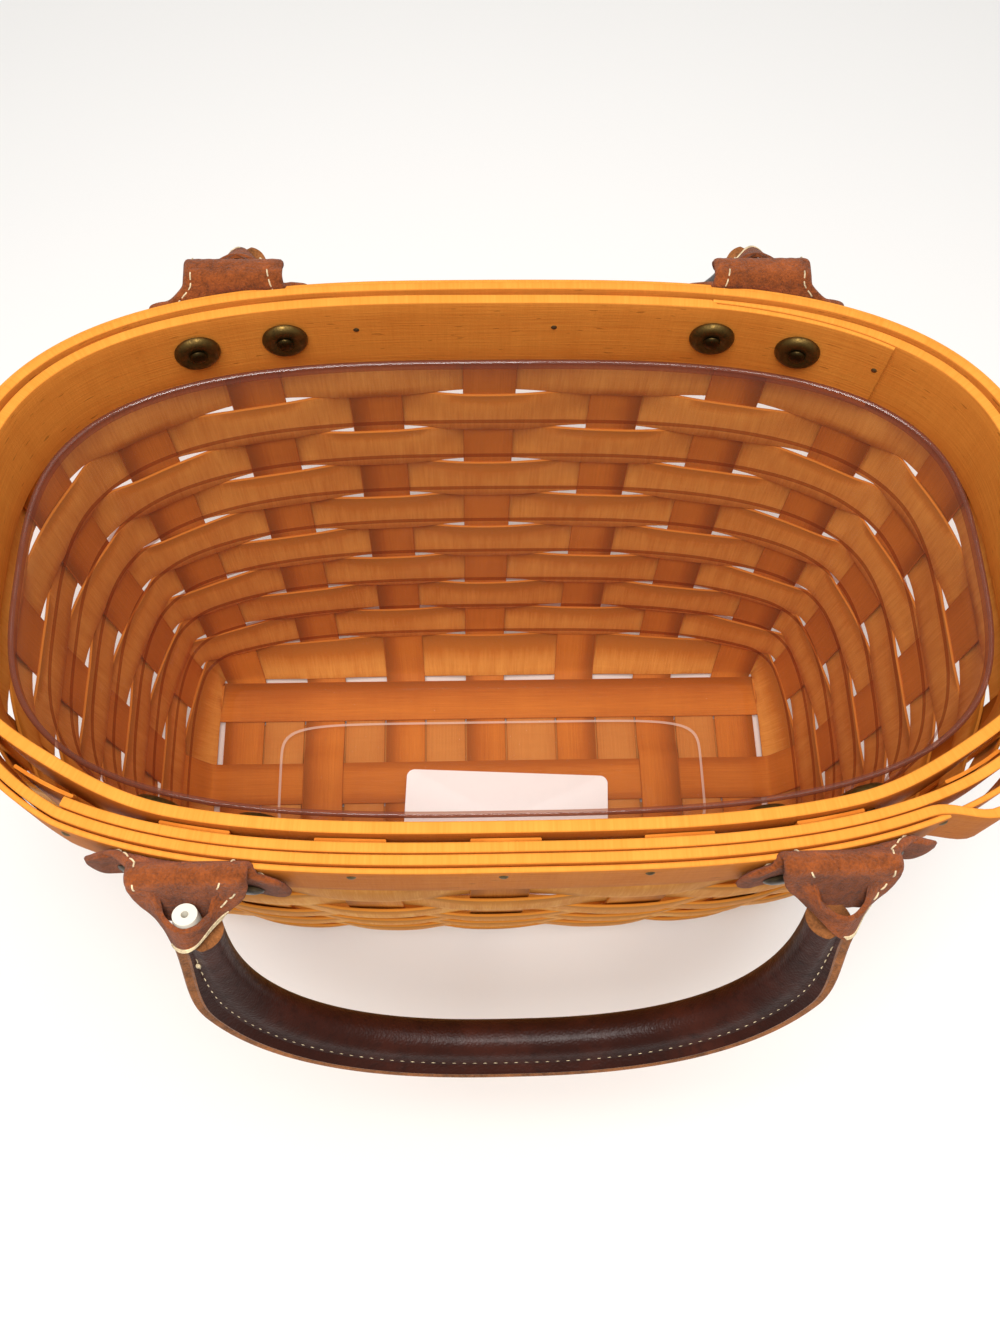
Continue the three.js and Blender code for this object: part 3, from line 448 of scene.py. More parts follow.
def rim_at(value, side, axis):
    """Point of the oval at a given x (axis 0) or y (axis 1), on one side of the other axis."""
    other = 1 - axis
    rest = (1 - np.abs(value / OVAL_HALF[axis]) ** OVAL_POWER) ** (1 / OVAL_POWER)
    xy = np.empty(np.shape(value) + (2,))
    xy[..., axis] = value
    xy[..., other] = side * OVAL_HALF[other] * rest
    return xy


def share_at_x(x, side):
    """Share of the oval's length where it passes x on the back (side 1) or the front (-1)."""
    half = len(OVAL_SHARE) // 2
    if side > 0:
        return np.interp(-x, -OVAL_XY[:half + 1, 0], OVAL_SHARE[:half + 1])
    return np.interp(x, OVAL_XY[half:, 0], OVAL_SHARE[half:])


def layer_z(index):
    return index * (SPLINT_THICK + SEAT) + SPLINT_THICK / 2


CROSS_WIDTHS = np.full(CROSS_COUNT, CROSS_WIDTH)
CROSS_WIDTHS[WIDE_PLACE] = WIDE_FILLER
BASE_HALF_LENGTH = (CROSS_WIDTHS.sum() + (CROSS_COUNT - 1) * SPLINT_GAP) / 2
BASE_HALF_WIDTH = (LONG_COUNT * LONG_WIDTH + (LONG_COUNT - 1) * SPLINT_GAP) / 2
CROSS_X = (-BASE_HALF_LENGTH + np.cumsum(CROSS_WIDTHS) - CROSS_WIDTHS / 2
           + SPLINT_GAP * np.arange(CROSS_COUNT))
LONG_Y = (np.arange(LONG_COUNT) - (LONG_COUNT - 1) / 2) * (LONG_WIDTH + SPLINT_GAP)
RIM_SPREAD = (EAR_X / CROSS_X[10] + EAR_X / -CROSS_X[2]) / 2

ROW_PITCH = WEAVER_WIDTH + ROW_GAP
STEP_SLOPES = np.radians([HEEL_SLOPE] + ROW_SLOPES)
STEP_LENGTHS = np.array([HEEL_LENGTH] + [ROW_PITCH] * len(ROW_SLOPES))
LEVEL_OUT = np.concatenate([[0.0], np.cumsum(STEP_LENGTHS * np.cos(STEP_SLOPES))])
LEVEL_OUT = LEVEL_OUT / LEVEL_OUT[-1]
LEVEL_Z = layer_z(1) + np.concatenate([[0.0], np.cumsum(STEP_LENGTHS * np.sin(STEP_SLOPES))])
WEAVE_TOP = LEVEL_Z[-1]
RIM_TOP = WEAVE_TOP + BAND_RISE + INNER_BAND["height"]
LEVEL_OUT = np.append(LEVEL_OUT, 1.0)
LEVEL_Z = np.append(LEVEL_Z, RIM_TOP - STAKE_TUCK)
HINGE_Z = RIM_TOP + HINGE_RISE


def list_sides():
    """The 20 sides of the stakes, once round from +X through +Y, as arrays.

    The crown of a side is how far the rim bends away from it over half its width.
    """
    base, rim, width, base_tangent, base_z, corner, keys = [], [], [], [], [], [], []
    for side in (1, -1):
        for i in (0, 2, 4)[::side]:
            base.append((side * BASE_HALF_LENGTH, LONG_Y[i]))
            rim.append(rim_at(LONG_Y[i] * RIM_SPREAD, side, 1))
            keys.append(("long", i, side))
            width.append(LONG_WIDTH)
            base_tangent.append((0, side))
            base_z.append(layer_z(2))
            corner.append(i == (4 if side > 0 else 0))
        for i in range(0, CROSS_COUNT, 2)[::-side]:
            base.append((CROSS_X[i], side * BASE_HALF_WIDTH))
            rim.append(rim_at(CROSS_X[i] * RIM_SPREAD, side, 0))
            keys.append(("cross", i, side))
            width.append(CROSS_WIDTH)
            base_tangent.append((-side, 0))
            base_z.append(layer_z(1))
            corner.append(i == (0 if side > 0 else CROSS_COUNT - 1))
    base, rim = np.array(base, dtype=float), np.array(rim, dtype=float)
    normal = oval_normal(rim)
    tangent = np.stack([-normal[:, 1], normal[:, 0]], axis=-1)
    width = np.array(width)
    ahead = rim + tangent * width[:, None] / 2
    ends = np.abs(normal[:, 0]) > np.abs(normal[:, 1])
    tips = OVAL_HALF - 0.1
    edge = np.where(ends[:, None],
                    rim_at(np.clip(ahead[:, 1], -tips[1], tips[1]), np.sign(rim[:, 0]), 1),
                    rim_at(np.clip(ahead[:, 0], -tips[0], tips[0]), np.sign(rim[:, 1]), 0))
    sag = np.clip(np.einsum("ij,ij->i", rim - edge, normal), 0, width / 2)
    crown = np.where(sag > LEAST_CROWN, sag, 0.0)
    return {"base": base, "rim": rim, "width": width, "tangent": tangent,
            "base_tangent": np.array(base_tangent, dtype=float), "base_z": np.array(base_z),
            "corner": np.array(corner), "crown": crown, "keys": keys}


SIDES = list_sides()


def with_z(xy, z):
    return np.concatenate([xy, np.broadcast_to(z, xy.shape[:-1])[..., None]], axis=-1)


def wall_frames(heights):
    """Every stake side at the levels `heights`, which may lie between whole levels.

    The point goes from the base to the rim by the level's share of the flare. The normal is
    tangent x up, outward, where up is the step between the levels.
    """
    heights = np.asarray(heights, dtype=float)
    low = np.clip(np.floor(heights).astype(int), 0, len(LEVEL_Z) - 2)
    share = heights - low
    out_a, out_b = LEVEL_OUT[low], LEVEL_OUT[low + 1]
    out = lerp(out_a, out_b, share)
    spread = (SIDES["rim"] - SIDES["base"])[:, None]
    z_a = np.where(low == 0, SIDES["base_z"][:, None], LEVEL_Z[low])
    z_b = LEVEL_Z[low + 1] + np.zeros_like(z_a)
    point = with_z(SIDES["base"][:, None] + spread * out[:, None], lerp(z_a, z_b, share))
    up = unit(with_z(spread * (out_b - out_a)[:, None], z_b - z_a))
    flat = unit(lerp(SIDES["base_tangent"][:, None], SIDES["tangent"][:, None], out[:, None]))
    tangent = with_z(flat, 0.0)
    return point, tangent, unit(np.cross(tangent, up)), SIDES["crown"][:, None] * out


# The rim bands as offsets from the oval

OUTER_FACE = SPLINT_THICK / 2 + STAKE_PLAY


def ramp(value):
    return np.clip(value, 0.0, 1.0)


def inner_face(share):
    """Face of the inner band that looks at the stakes; it stands off at the front corners."""
    away = np.abs(np.mod(share, 1.0)[..., None] - np.array(SLACK_PLACES)) / SLACK_REACH
    slack = np.where(away < 1, np.cos(np.minimum(away, 1.0) * math.pi / 2) ** 2, 0.0).sum(-1)
    return -SPLINT_THICK / 2 - STAKE_PLAY - CORNER_SLACK * slack


INNER_END = INNER_BAND["start"] + 1 + INNER_BAND["lap"] - 0.002


def inner_faces(share):
    """The two faces of the inner band, its thin first end laid over its thinning last end."""
    face = inner_face(share)
    thick, tip = INNER_BAND["thick"], INNER_BAND["tip"]
    early = ramp(1 - (share - INNER_BAND["start"]) / INNER_BAND["lap"])
    over = share < INNER_BAND["start"] + INNER_BAND["lap"]
    late = ramp((INNER_END - share) / INNER_BAND["lap"])
    near = np.where(over, face - thick - early * (tip + SEAT), face - tip - (thick - tip) * late)
    far = np.where(over, face - SEAT - tip - (thick - tip) * early, face)
    return near, far


def inner_reach(share):
    turn = np.mod(share, 1.0)
    return -inner_faces(np.where(turn < INNER_BAND["start"], turn + 1, turn))[0]


OUTER_END = OUTER_BAND["start"] + 1 + OUTER_BAND["lap"]
SECOND_LAYER = OUTER_BAND["thick"] + SEAT


def outer_low(share):
    """Inner face of the outer band, which climbs over its own start along the front."""
    climb = ramp((share - OUTER_BAND["start"] - 1 + OUTER_BAND["blend"]) / OUTER_BAND["blend"])
    return OUTER_FACE + climb * SECOND_LAYER


def outer_reach(share):
    """How far out the outer band stands at a share of the way round."""
    turn = np.mod(share, 1.0)
    blend = OUTER_BAND["blend"]
    rise = ramp((turn - OUTER_BAND["start"] + blend) / blend)
    fall = 1 - ramp((turn - (OUTER_END - 1) - blend / 4) / blend)
    return OUTER_FACE + OUTER_BAND["thick"] + np.minimum(rise, fall) * SECOND_LAYER


def trim_face(share):
    return outer_reach(share) + SEAT


def strap_face(share):
    return trim_face(share) + TRIM["thick"] + SEAT


# Materials


class Recipe:
    """A material's nodes, added one by one."""

    def __init__(self, name):
        old = bpy.data.materials.get(name)
        if old:
            bpy.data.materials.remove(old)
        self.material = bpy.data.materials.new(name)
        self.material.use_nodes = True
        self.tree = self.material.node_tree
        self.tree.nodes.clear()
        self.out = self.add("ShaderNodeOutputMaterial")

    def add(self, kind, inputs=None, **settings):
        node = self.tree.nodes.new(kind)
        for key, value in settings.items():
            setattr(node, key, value)
        for key, value in (inputs or {}).items():
            if isinstance(value, bpy.types.NodeSocket):
                self.tree.links.new(value, node.inputs[key])
            else:
                node.inputs[key].default_value = value
        return node

    def grain(self, along, across):
        """The grain map stretched by a rate along and a rate across the piece, per metre."""
        place = self.add("ShaderNodeUVMap", uv_map="grain").outputs[0]
        return self.add("ShaderNodeMapping", {"Vector": place, "Scale": (along, across, 1.0)}
                        ).outputs[0]

    def space(self, rate):
        place = self.add("ShaderNodeTexCoord").outputs["Object"]
        return self.add("ShaderNodeMapping", {"Vector": place, "Scale": (rate,) * 3}).outputs[0]

    def noise(self, vector, detail=3.0, rough=0.55, distort=0.0):
        return self.add("ShaderNodeTexNoise", {
            "Vector": vector, "Scale": 1.0, "Detail": detail, "Roughness": rough,
            "Distortion": distort}).outputs[0]

    def span(self, value, low, high, to_low=0.0, to_high=1.0):
        return self.add("ShaderNodeMapRange", {
            "Value": value, "From Min": low, "From Max": high, "To Min": to_low,
            "To Max": to_high}).outputs[0]

    def math(self, operation, first, second=0.0):
        return self.add("ShaderNodeMath", {0: first, 1: second}, operation=operation).outputs[0]

    def swing(self, value, reach, low=0.3, high=0.7):
        """A value from low to high turned into -reach to reach."""
        return self.span(value, low, high, -reach, reach)

    def total(self, *values):
        result = values[0]
        for value in values[1:]:
            result = self.math("ADD", result, value)
        return result

    def tone(self):
        return self.add("ShaderNodeAttribute", attribute_name="tone").outputs["Fac"]

    def mix(self, share, *colours):
        ends = [value if isinstance(value, bpy.types.NodeSocket) else (*value[:3], 1.0)
                for value in colours]
        return self.add("ShaderNodeMix", {0: share, 6: ends[0], 7: ends[1]},
                        data_type="RGBA").outputs[2]

    def bump(self, height, distance, strength):
        return self.add("ShaderNodeBump", {"Height": height, "Distance": distance,
                                           "Strength": strength}).outputs[0]

    def finish(self, **inputs):
        shader = self.add("ShaderNodeBsdfPrincipled",
                          {key.replace("_", " "): value for key, value in inputs.items()})
        self.tree.links.new(shader.outputs[0], self.out.inputs[0])
        return self.material


def shifted(tone, share):
    """A colour times a share, no channel over 1."""
    return tuple(min(value * share, 1.0) for value in tone[:3])


def wood(name, pale, deep, cross, lengthwise, fleck):
    """Oiled maple: tone between deep and pale by noise stretched across and along the grain, and
    by each piece's tone attribute, which holds its random tone and its painted shade.

    cross and lengthwise weigh the two, and fleck is the share of short dark dashes.
    """
    r = Recipe(name)
    fine_cross = r.noise(r.grain(1500.0, 70.0), detail=4.0, rough=0.65)
    wide_cross = r.noise(r.grain(260.0, 25.0), detail=2.0)
    fine_long = r.noise(r.grain(45.0, 1900.0), detail=4.0, rough=0.6, distort=0.2)
    cloud = r.noise(r.space(28.0), detail=2.0)
    tone = r.tone()
    mixed = r.total(r.swing(fine_cross, cross * 0.55, 0.28, 0.72),
                    r.swing(wide_cross, cross * 0.35), r.swing(fine_long, lengthwise * 0.5),
                    r.swing(cloud, 0.28), tone)
    base = r.mix(r.span(mixed, -1.0, 1.0), deep, pale)
    # Painted shade: where the tone falls far below zero, as on the outside of the splints and
    # bands and at the inner band's torn end, the colour sinks further towards a dark brown
    base = r.mix(r.span(tone, -2.4, -0.6, 0.6, 0.0), base, shifted(deep, 0.3))
    if fleck:
        dash = r.noise(r.grain(170.0, 900.0), detail=1.0)
        base = r.mix(r.span(dash, 0.69, 0.74, 0.0, fleck), base, shifted(deep, 0.35))
    height = r.total(r.math("MULTIPLY", fine_cross, cross),
                     r.math("MULTIPLY", fine_long, lengthwise))
    return r.finish(Base_Color=base, Roughness=r.span(mixed, -1.0, 1.0, 0.6, 0.44),
                    Normal=r.bump(height, 0.00035, 0.55), Coat_Weight=0.02,
                    Coat_Roughness=0.3, Specular_IOR_Level=0.12, IOR=1.3)


def cut_edge(name, pale, deep):
    """Sawn edge of a splint or band: bright, with fine marks square to its length."""
    r = Recipe(name)
    marks = r.noise(r.grain(1300.0, 120.0), detail=4.0, rough=0.7)
    wide = r.noise(r.grain(140.0, 40.0), detail=3.0)
    # The tone attribute brings each piece's random tone and its painted shade onto its cut edges
    # too
    mixed = r.total(r.span(marks, 0.3, 0.7, -0.5, 0.6), r.swing(wide, 0.4), r.tone())
    return r.finish(Base_Color=r.mix(r.span(mixed, -1.0, 0.7), deep, pale), Roughness=0.5,
                    Normal=r.bump(marks, 0.0003, 0.6), Specular_IOR_Level=0.08, IOR=1.25)


def maple(kind, tones, cross, lengthwise, fleck=0.0, bright_edge=False):
    """The face and the cut edge of one kind of splint."""
    pale, deep = getattr(tones, f"{kind}_pale"), getattr(tones, f"{kind}_deep")
    return [wood(f"maple_{kind}", pale, deep, cross, lengthwise, fleck),
            cut_edge(f"maple_{kind}_edge", tones.edge_pale, pale if bright_edge else deep)]


def smooth_leather(name, tone):
    """Polished handle leather: fine pebbled grain, soft creases and lighter rubbed places."""
    r = Recipe(name)
    pebble = r.add("ShaderNodeTexVoronoi", {"Vector": r.space(1.0), "Scale": 1500.0}
                   ).outputs["Distance"]
    creases = r.noise(r.space(420.0), detail=4.0, rough=0.6)
    rubbed = r.noise(r.space(55.0), detail=3.0)
    base = r.mix(r.span(rubbed, 0.42, 0.72), tone, shifted(tone, 1.9))
    base = r.mix(r.span(creases, 0.5, 0.75, 0.0, 0.6), base, shifted(tone, 0.45))
    height = r.total(r.math("MULTIPLY", pebble, 0.5), creases)
    return r.finish(Base_Color=base, Roughness=r.span(creases, 0.3, 0.7, 0.32, 0.48),
                    Normal=r.bump(height, 0.0003, 0.5), Coat_Weight=0.06, Coat_Roughness=0.25,
                    Specular_IOR_Level=0.12)


def rough_leather(name, tone, fuzz=0.0012):
    """Suede and raw edges: cloudy tone, matted fibres and a soft sheen."""
    r = Recipe(name)
    fibres = r.noise(r.space(1500.0), detail=5.0, rough=0.7, distort=0.6)
    clumps = r.noise(r.space(260.0), detail=4.0, rough=0.65, distort=0.4)
    clouds = r.noise(r.space(60.0), detail=3.0)
    mixed = r.total(r.swing(fibres, 0.45), r.swing(clumps, 0.4), r.swing(clouds, 0.3))
    base = r.mix(r.span(mixed, -0.65, 0.65), shifted(tone, 0.45), shifted(tone, 1.55))
    height = r.total(r.math("MULTIPLY", fibres, 0.6), clumps)
    return r.finish(Base_Color=base, Roughness=0.92, Normal=r.bump(height, fuzz, 0.9),
                    Sheen_Weight=0.12, Sheen_Roughness=0.5, Specular_IOR_Level=0.15)


def metal(name, tone, rough=0.42):
    """Aged metal: blotches of darker tarnish and fine scratches."""
    r = Recipe(name)
    blotch = r.noise(r.space(420.0), detail=4.0, rough=0.7)
    scratch = r.noise(r.space(2200.0), detail=2.0)
    return r.finish(Base_Color=r.mix(r.span(blotch, 0.35, 0.68), tone, shifted(tone, 0.35)),
                    Metallic=0.9, Roughness=r.span(blotch, 0.3, 0.7, rough - 0.1, rough + 0.2),
                    Normal=r.bump(scratch, 0.0001, 0.5))


def plain_plastic(name, tone, rough, grime):
    """Plastic or card: near even, with faint clouds and handling marks."""
    r = Recipe(name)
    clouds = r.noise(r.space(90.0), detail=3.0)
    specks = r.noise(r.space(900.0), detail=3.0)
    base = r.mix(r.span(clouds, 0.45, 0.8, 0.0, 0.35), tone, shifted(tone, grime))
    return r.finish(Base_Color=base, Roughness=r.span(specks, 0.3, 0.7, rough - 0.08, rough + 0.1),
                    Normal=r.bump(specks, 0.00006, 0.4))


def clear_plastic(name, tint, shine, veil, veil_share):
    """Clear sheet: seen through with a tint, a thin milky veil, and gloss at a slant."""
    r = Recipe(name)
    normal = r.bump(r.noise(r.space(45.0), detail=2.0), 0.002, 0.25)
    through = r.add("ShaderNodeBsdfTransparent", {"Color": (*tint[:3], 1.0)})
    glossy = r.add("ShaderNodeBsdfPrincipled", {
        "Base Color": (*veil, 1.0), "Roughness": 0.06, "Normal": normal,
        "Specular IOR Level": 0.6, "IOR": 1.5})
    slant = r.add("ShaderNodeLayerWeight", {"Blend": 0.35, "Normal": normal}).outputs["Facing"]
    share = r.total(r.math("MULTIPLY", r.math("POWER", slant, 2.5), shine), veil_share)
    mixed = r.add("ShaderNodeMixShader", {0: share, 1: through.outputs[0], 2: glossy.outputs[0]})
    r.tree.links.new(mixed.outputs[0], r.out.inputs[0])
    return r.material


# Splints and bands


def weaver_rings(row):
    """Lower edge, middle and upper edge of a weaver as closed lines through 44 knots.

    At each stake the line passes outside or inside by turns, at both ends of a share of the
    stake's width; each of the four corners has one more knot that bulges outward. The edges
    stand off the wall by a share of what the middle does, so that the splint is cupped.
    """
    inset = ROW_SLIT / 2 / ROW_PITCH
    low = 0.5 if row == 0 else 1 + row + inset
    high = 2 + row - inset
    point, tangent, normal, crown = wall_frames([low, (low + high) / 2, high])
    cup = np.array([WEAVE_CUP, 1.0, WEAVE_CUP])
    count = len(SIDES["width"])
    sign = np.where((np.arange(count) + row + 1) % 2 == 0, 1.0, -1.0)[:, None]
    half = SIDES["width"][:, None, None] / 2

    def end(direction, at_corner):
        reach = np.where(at_corner, 1.0, BOW_REACH)[:, None, None]
        offset = (np.where(sign > 0, WEAVE_STEP, WEAVE_INSIDE)
                  + WEAVE_SWELL * np.where(at_corner, 0.5, 1.0)[:, None])
        fall = np.where((sign > 0) & ~at_corner[:, None], crown / 2, crown)
        return (point + tangent * direction * reach * half
                + normal * (sign * offset * cup - fall)[..., None])

    enter = end(-1, np.roll(SIDES["corner"], 1))
    leave = end(1, SIDES["corner"])
    nxt, nxt_tangent = np.roll(enter, -1, axis=0), np.roll(tangent, -1, axis=0)
    bulge = np.linalg.norm(nxt - leave, axis=-1, keepdims=True) / CORNER_FULLNESS
    middle = (leave + nxt) / 2 + tangent * bulge - nxt_tangent * bulge
    knots = np.stack([enter, leave, middle], axis=1)
    wanted = np.stack([np.ones(count, bool), np.ones(count, bool), SIDES["corner"]], axis=1)
    return knots.reshape(-1, 3, 3)[wanted.reshape(-1)]


def splint_skin(grid, run, width, shift, tone, shade=0.0, closed_along=False):
    """Skin of a splint, its tone lower by 0.5 |a|^5 towards its edges.

    The shifts along and across the grain keep any two splints from showing the same one.
    """
    return surface(grid, closed_along=closed_along, run=run + shift[0],
                   across=SPLINT_A * width / 2 + shift[1], material=SPLINT_KINDS,
                   tone=tone[:, None] - 0.5 * np.abs(SPLINT_A)[None] ** 5 + shade)


def painted_outside_shade(points, middle):
    """Painted shade: a lower tone for a splint's points that lie further out than its middle line.

    It falls further by 1.4 |a|^4 towards the edges, where rows would shade one another.
    """
    outward = np.einsum("ijk,ik->ij", (points - middle[:, None])[..., :2],
                        unit(middle[:, :2] + 1e-6))
    return (-OUTSIDE_SHADE * ease(outward / 0.5 + 0.5)
            * (1 + 1.4 * np.abs(SPLINT_A)[None] ** 4))


def weaver(row, looks, waviness):
    """One row: a flat profile carried round on the parabola through its three lines.

    At k half widths from the middle line it is low k(k-1)/2 + middle (1-k^2) + high k(k+1)/2.
    """
    rings = closed_spline(weaver_rings(row), KNOT_PARTS)
    share = np.arange(len(rings)) / len(rings)
    flat = np.zeros((len(rings), 2))
    low, middle, high = np.moveaxis(rings, 1, 0)
    low = low + with_z(flat, waviness * wander(share, 40 + row, (9, 17, 31)))
    high = high + with_z(flat, waviness * wander(share, 80 + row, (8, 19, 33)))
    along = np.roll(middle, -1, axis=0) - np.roll(middle, 1, axis=0)
    k = SPLINT_A[None, :, None]
    base = (low[:, None] * k * (k - 1) / 2 + middle[:, None] * (1 - k**2)
            + high[:, None] * k * (k + 1) / 2)
    across = low[:, None] * (k - 0.5) - 2 * k * middle[:, None] + high[:, None] * (k + 0.5)
    lift = SPLINT_B[None, :, None] * WEAVER_THICK / 2
    grid = base + unit(np.cross(along[:, None], across)) * lift
    tone = 0.12 * wander(share, 120 + row, (3, 7, 12)) + 0.10 * math.sin(2.3 * row)
    skin = splint_skin(grid, run_length(middle), WEAVER_WIDTH, (1700.0 * row, 30.0 * row), tone,
                       painted_outside_shade(grid, middle), closed_along=True)
    fit(f"weaver_row_{row + 1:02d}", [skin], looks, "basket", "splint", f"weaver_{row + 1:02d}")


def stake_line(start, finish, hump):
    """Stations of a stake from one rim, down the wall, across the base and up again."""
    point, tangent, _, crown = wall_frames(np.linspace(len(LEVEL_Z) - 1, 0.0, WALL_STATIONS))
    share = np.linspace(0.0, 1.0, BASE_STATIONS + 2)[1:-1]
    flat = lerp(point[start, -1], point[finish, -1], share[:, None])
    if hump:
        lift = ease((HUMP_REACH + HUMP_RUN - np.abs(flat[:, 1])) / HUMP_RUN)
        flat[:, 2] += lift * (layer_z(3) - layer_z(1))
    line = np.concatenate([point[start], flat, point[finish, ::-1]])
    tangents = np.concatenate([tangent[start], np.repeat(tangent[start, -1:], len(share), axis=0),
                               -tangent[finish, ::-1]])
    crowns = np.concatenate([crown[start], np.zeros(len(share)), crown[finish, ::-1]])
    return line, unit(softened(tangents, 3)), crowns


def stake(name, node, places, width, looks, seed, waviness, hump=False):
    """A splint up one wall, over the base and up the other, softly bent at the heel."""
    line, tangent, crown = stake_line(*places, hump)
    line = softened(line, 2)
    normal = unit(np.cross(np.gradient(line, axis=0), tangent))
    run = run_length(line)
    share = run / run[-1]
    slim = 1.0 + waviness / width * wander(share, seed, (4, 9))
    across = tangent * (width / 2 * slim)[:, None]
    grid = carried(line, across, normal * STAKE_THICK / 2, SPLINT_A, SPLINT_B)
    grid -= (normal * crown[:, None])[:, None] * (SPLINT_A**2)[None, :, None]
    tone = 0.10 * wander(share, seed + 5, (2, 5)) + 0.12 * math.sin(seed * 1.7)
    skin = splint_skin(grid, run, width, (900.0 * seed, 45.0 * seed), tone,
                       painted_outside_shade(grid, line))
    fit(name, [skin], looks, "basket", "splint", node)


def base_strip(name, node, middle, half_length, width, axis, looks, seed):
    """A flat base splint along an axis, its edges rounded."""
    t = np.linspace(-1.0, 1.0, STRIP_STATIONS)
    axis = np.array(axis)
    side = np.array([-axis[1], axis[0], 0.0])
    line = np.asarray(middle) + t[:, None] * half_length * axis
    across = np.broadcast_to(side * width / 2, line.shape)
    normal = np.broadcast_to([0.0, 0.0, SPLINT_THICK / 2], line.shape)
    tone = 0.10 * wander((t + 1) / 2, seed, (2, 4)) + 0.15 * math.sin(seed * 2.1)
    skin = splint_skin(carried(line, across, normal, SPLINT_A, SPLINT_B), (t + 1) * half_length,
                       width, (700.0 * seed, 37.0 * seed), tone)
    fit(name, [skin], looks, "basket", "splint", node)


def band_profile(thick, height):
    """Height (a) and thickness (b) of a bent band, its corners eased by half a millimetre.

    Strips on the top and bottom edges are marked 1.
    """
    ease_a, ease_b = BAND_EASE / (height / 2), BAND_EASE / (thick / 2)
    corner = np.radians([0.0, 30.0, 60.0, 90.0])
    top_a = 1 - ease_a * (1 - np.sin(corner))
    top_b = 1 - ease_b * (1 - np.cos(corner))
    flat = np.linspace(-1 + ease_a, 1 - ease_a, 6)[1:-1]
    a = np.concatenate([flat, top_a, top_a[::-1]])
    b = np.concatenate([np.ones(4), top_b, -top_b[::-1]])
    kinds = np.zeros(2 * len(a), dtype=int)
    kinds[5:10] = 1
    kinds[17:22] = 1
    return np.concatenate([a, -a]), np.concatenate([b, -b]), kinds


def band(name, node, shares, near, far, bottom, top, looks, seed, torn=None):
    """A strip round the oval between two offsets from it and two heights.

    torn gives how far its last end is pushed along, in millimetres, from its foot to its top. The
    last ring of that end is darkened, a painted shadow along the free end.
    """
    thick, height = far - near, top - bottom
    xy = oval_at(shares)
    normal = oval_normal(xy)
    centre = with_z(xy + normal * ((near + far) / 2)[:, None], (top + bottom) / 2)
    centre[:, 2] += np.minimum(0.25 * wander(shares, seed, (3, 7, 11)), 0.0)
    a, b, kinds = band_profile(float(np.max(thick)), height)
    grid = carried(centre, with_z(np.zeros_like(xy), height / 2),
                   with_z(normal * (thick / 2)[:, None], 0.0), a, b)
    tone = 0.12 * wander(shares, seed + 9, (2, 5, 9))
    if torn is not None:
        push = np.interp(a, np.linspace(-1.0, 1.0, len(torn)), torn)
        share = np.linspace(0.0, 1.0, TORN_STATIONS)[:, None]
        grid[-TORN_STATIONS:] += (share * push)[..., None] * unit(centre[-1] - centre[-2])
        # Painted shadow: the last ring of the torn end is made dark
        tone[-1] -= 1.6
    # Painted shade: each band's outward faces are darker than its inward ones; its cut edges are
    # left out
    skin = surface(grid, run=shares * OVAL_LENGTH + 300.0 * seed,
                   across=a * height / 2 + 60.0 * seed, material=kinds,
                   tone=tone[:, None] - 0.7 * ease(b)[None] * (kinds == 0)[None])
    fit(name, [skin], looks, "basket", "band", node)


def lathe(profile, origin, axis, segments):
    """A profile of radius and height turned round an axis through origin."""
    axis = unit(np.asarray(axis, dtype=float))
    helper = np.array([0.0, 0.0, 1.0]) if abs(axis[2]) < 0.9 else np.array([1.0, 0.0, 0.0])
    first = unit(np.cross(helper, axis))
    ring = spokes(first, np.cross(axis, first), segments)
    radius, height = np.asarray(profile, dtype=float).T
    return (np.asarray(origin) + radius[:, None, None] * ring[None]
            + height[:, None, None] * axis)


def on_rim(profile, x, side, drop, segments):
    """A small turned fixing in the rim at x, `drop` below its top, its axis pointing inward."""
    xy = rim_at(np.array(x), side, 0)
    return surface(lathe(profile, with_z(xy, RIM_TOP - drop), -with_z(oval_normal(xy), 0.0),
                         segments))


def handle_place(points, side):
    """Turns points of a handle's own frame by its hang about the fold, to the back for side 1.

    That frame has X along the fold, -Y outward and -Z down.
    """
    c, s = cos_sin(-HANG)
    x, y, z = np.moveaxis(points, -1, 0)
    placed = np.stack([x, y * c - z * s - HINGE_Y, y * s + z * c + HINGE_Z], axis=-1)
    return placed * np.array([-1.0, -1.0, 1.0]) if side > 0 else placed


def bail_line(angle):
    """The core's line in the handle's frame.

    x = -span * cos^(2/k), z = -start - depth * sin^(2/k), each with the sign of its base.
    """
    x, z = signed_power(compass(angle), 2 / BAIL_POWER).T
    return np.stack([-BAIL_SPAN * x, np.full_like(angle, -CORE_OFFSET),
                     -BAIL_START - BAIL_DEPTH * z], axis=-1)


def bail_angle(drop):
    share = np.clip((drop - BAIL_START) / BAIL_DEPTH, -1.0, 1.0)
    return np.arcsin(signed_power(share, BAIL_POWER / 2))


def bail_drift(drop):
    return BAIL_SPAN * np.cos(bail_angle(drop)) ** (2 / BAIL_POWER) - EAR_X


def stitches(line, normal, size, pitch, radius, start):
    """Threads lying on a line: each a short tube whose ends dip under the surface.

    A station at share t of a stitch stands 1.3 sin(pi t) - 0.5 of a thread's radius above it.
    """
    run = run_length(line)
    count = int((run[-1] - start - size) / pitch)
    t = np.linspace(0.0, 1.0, 5)
    places = start + pitch * np.arange(count)[:, None] + size * t
    at, up, ahead = (np.stack([np.interp(places, run, field[:, k]) for k in range(3)], axis=-1)
                     for field in (line, normal, np.gradient(line, axis=0)))
    up = unit(up)
    at = at + up * (radius * (1.3 * np.sin(math.pi * t) - 0.5))[None, :, None]
    ring = spokes(np.cross(unit(ahead), up), up, THREAD_SIDES)
    return [surface(grid) for grid in at[:, :, None] + ring * radius]


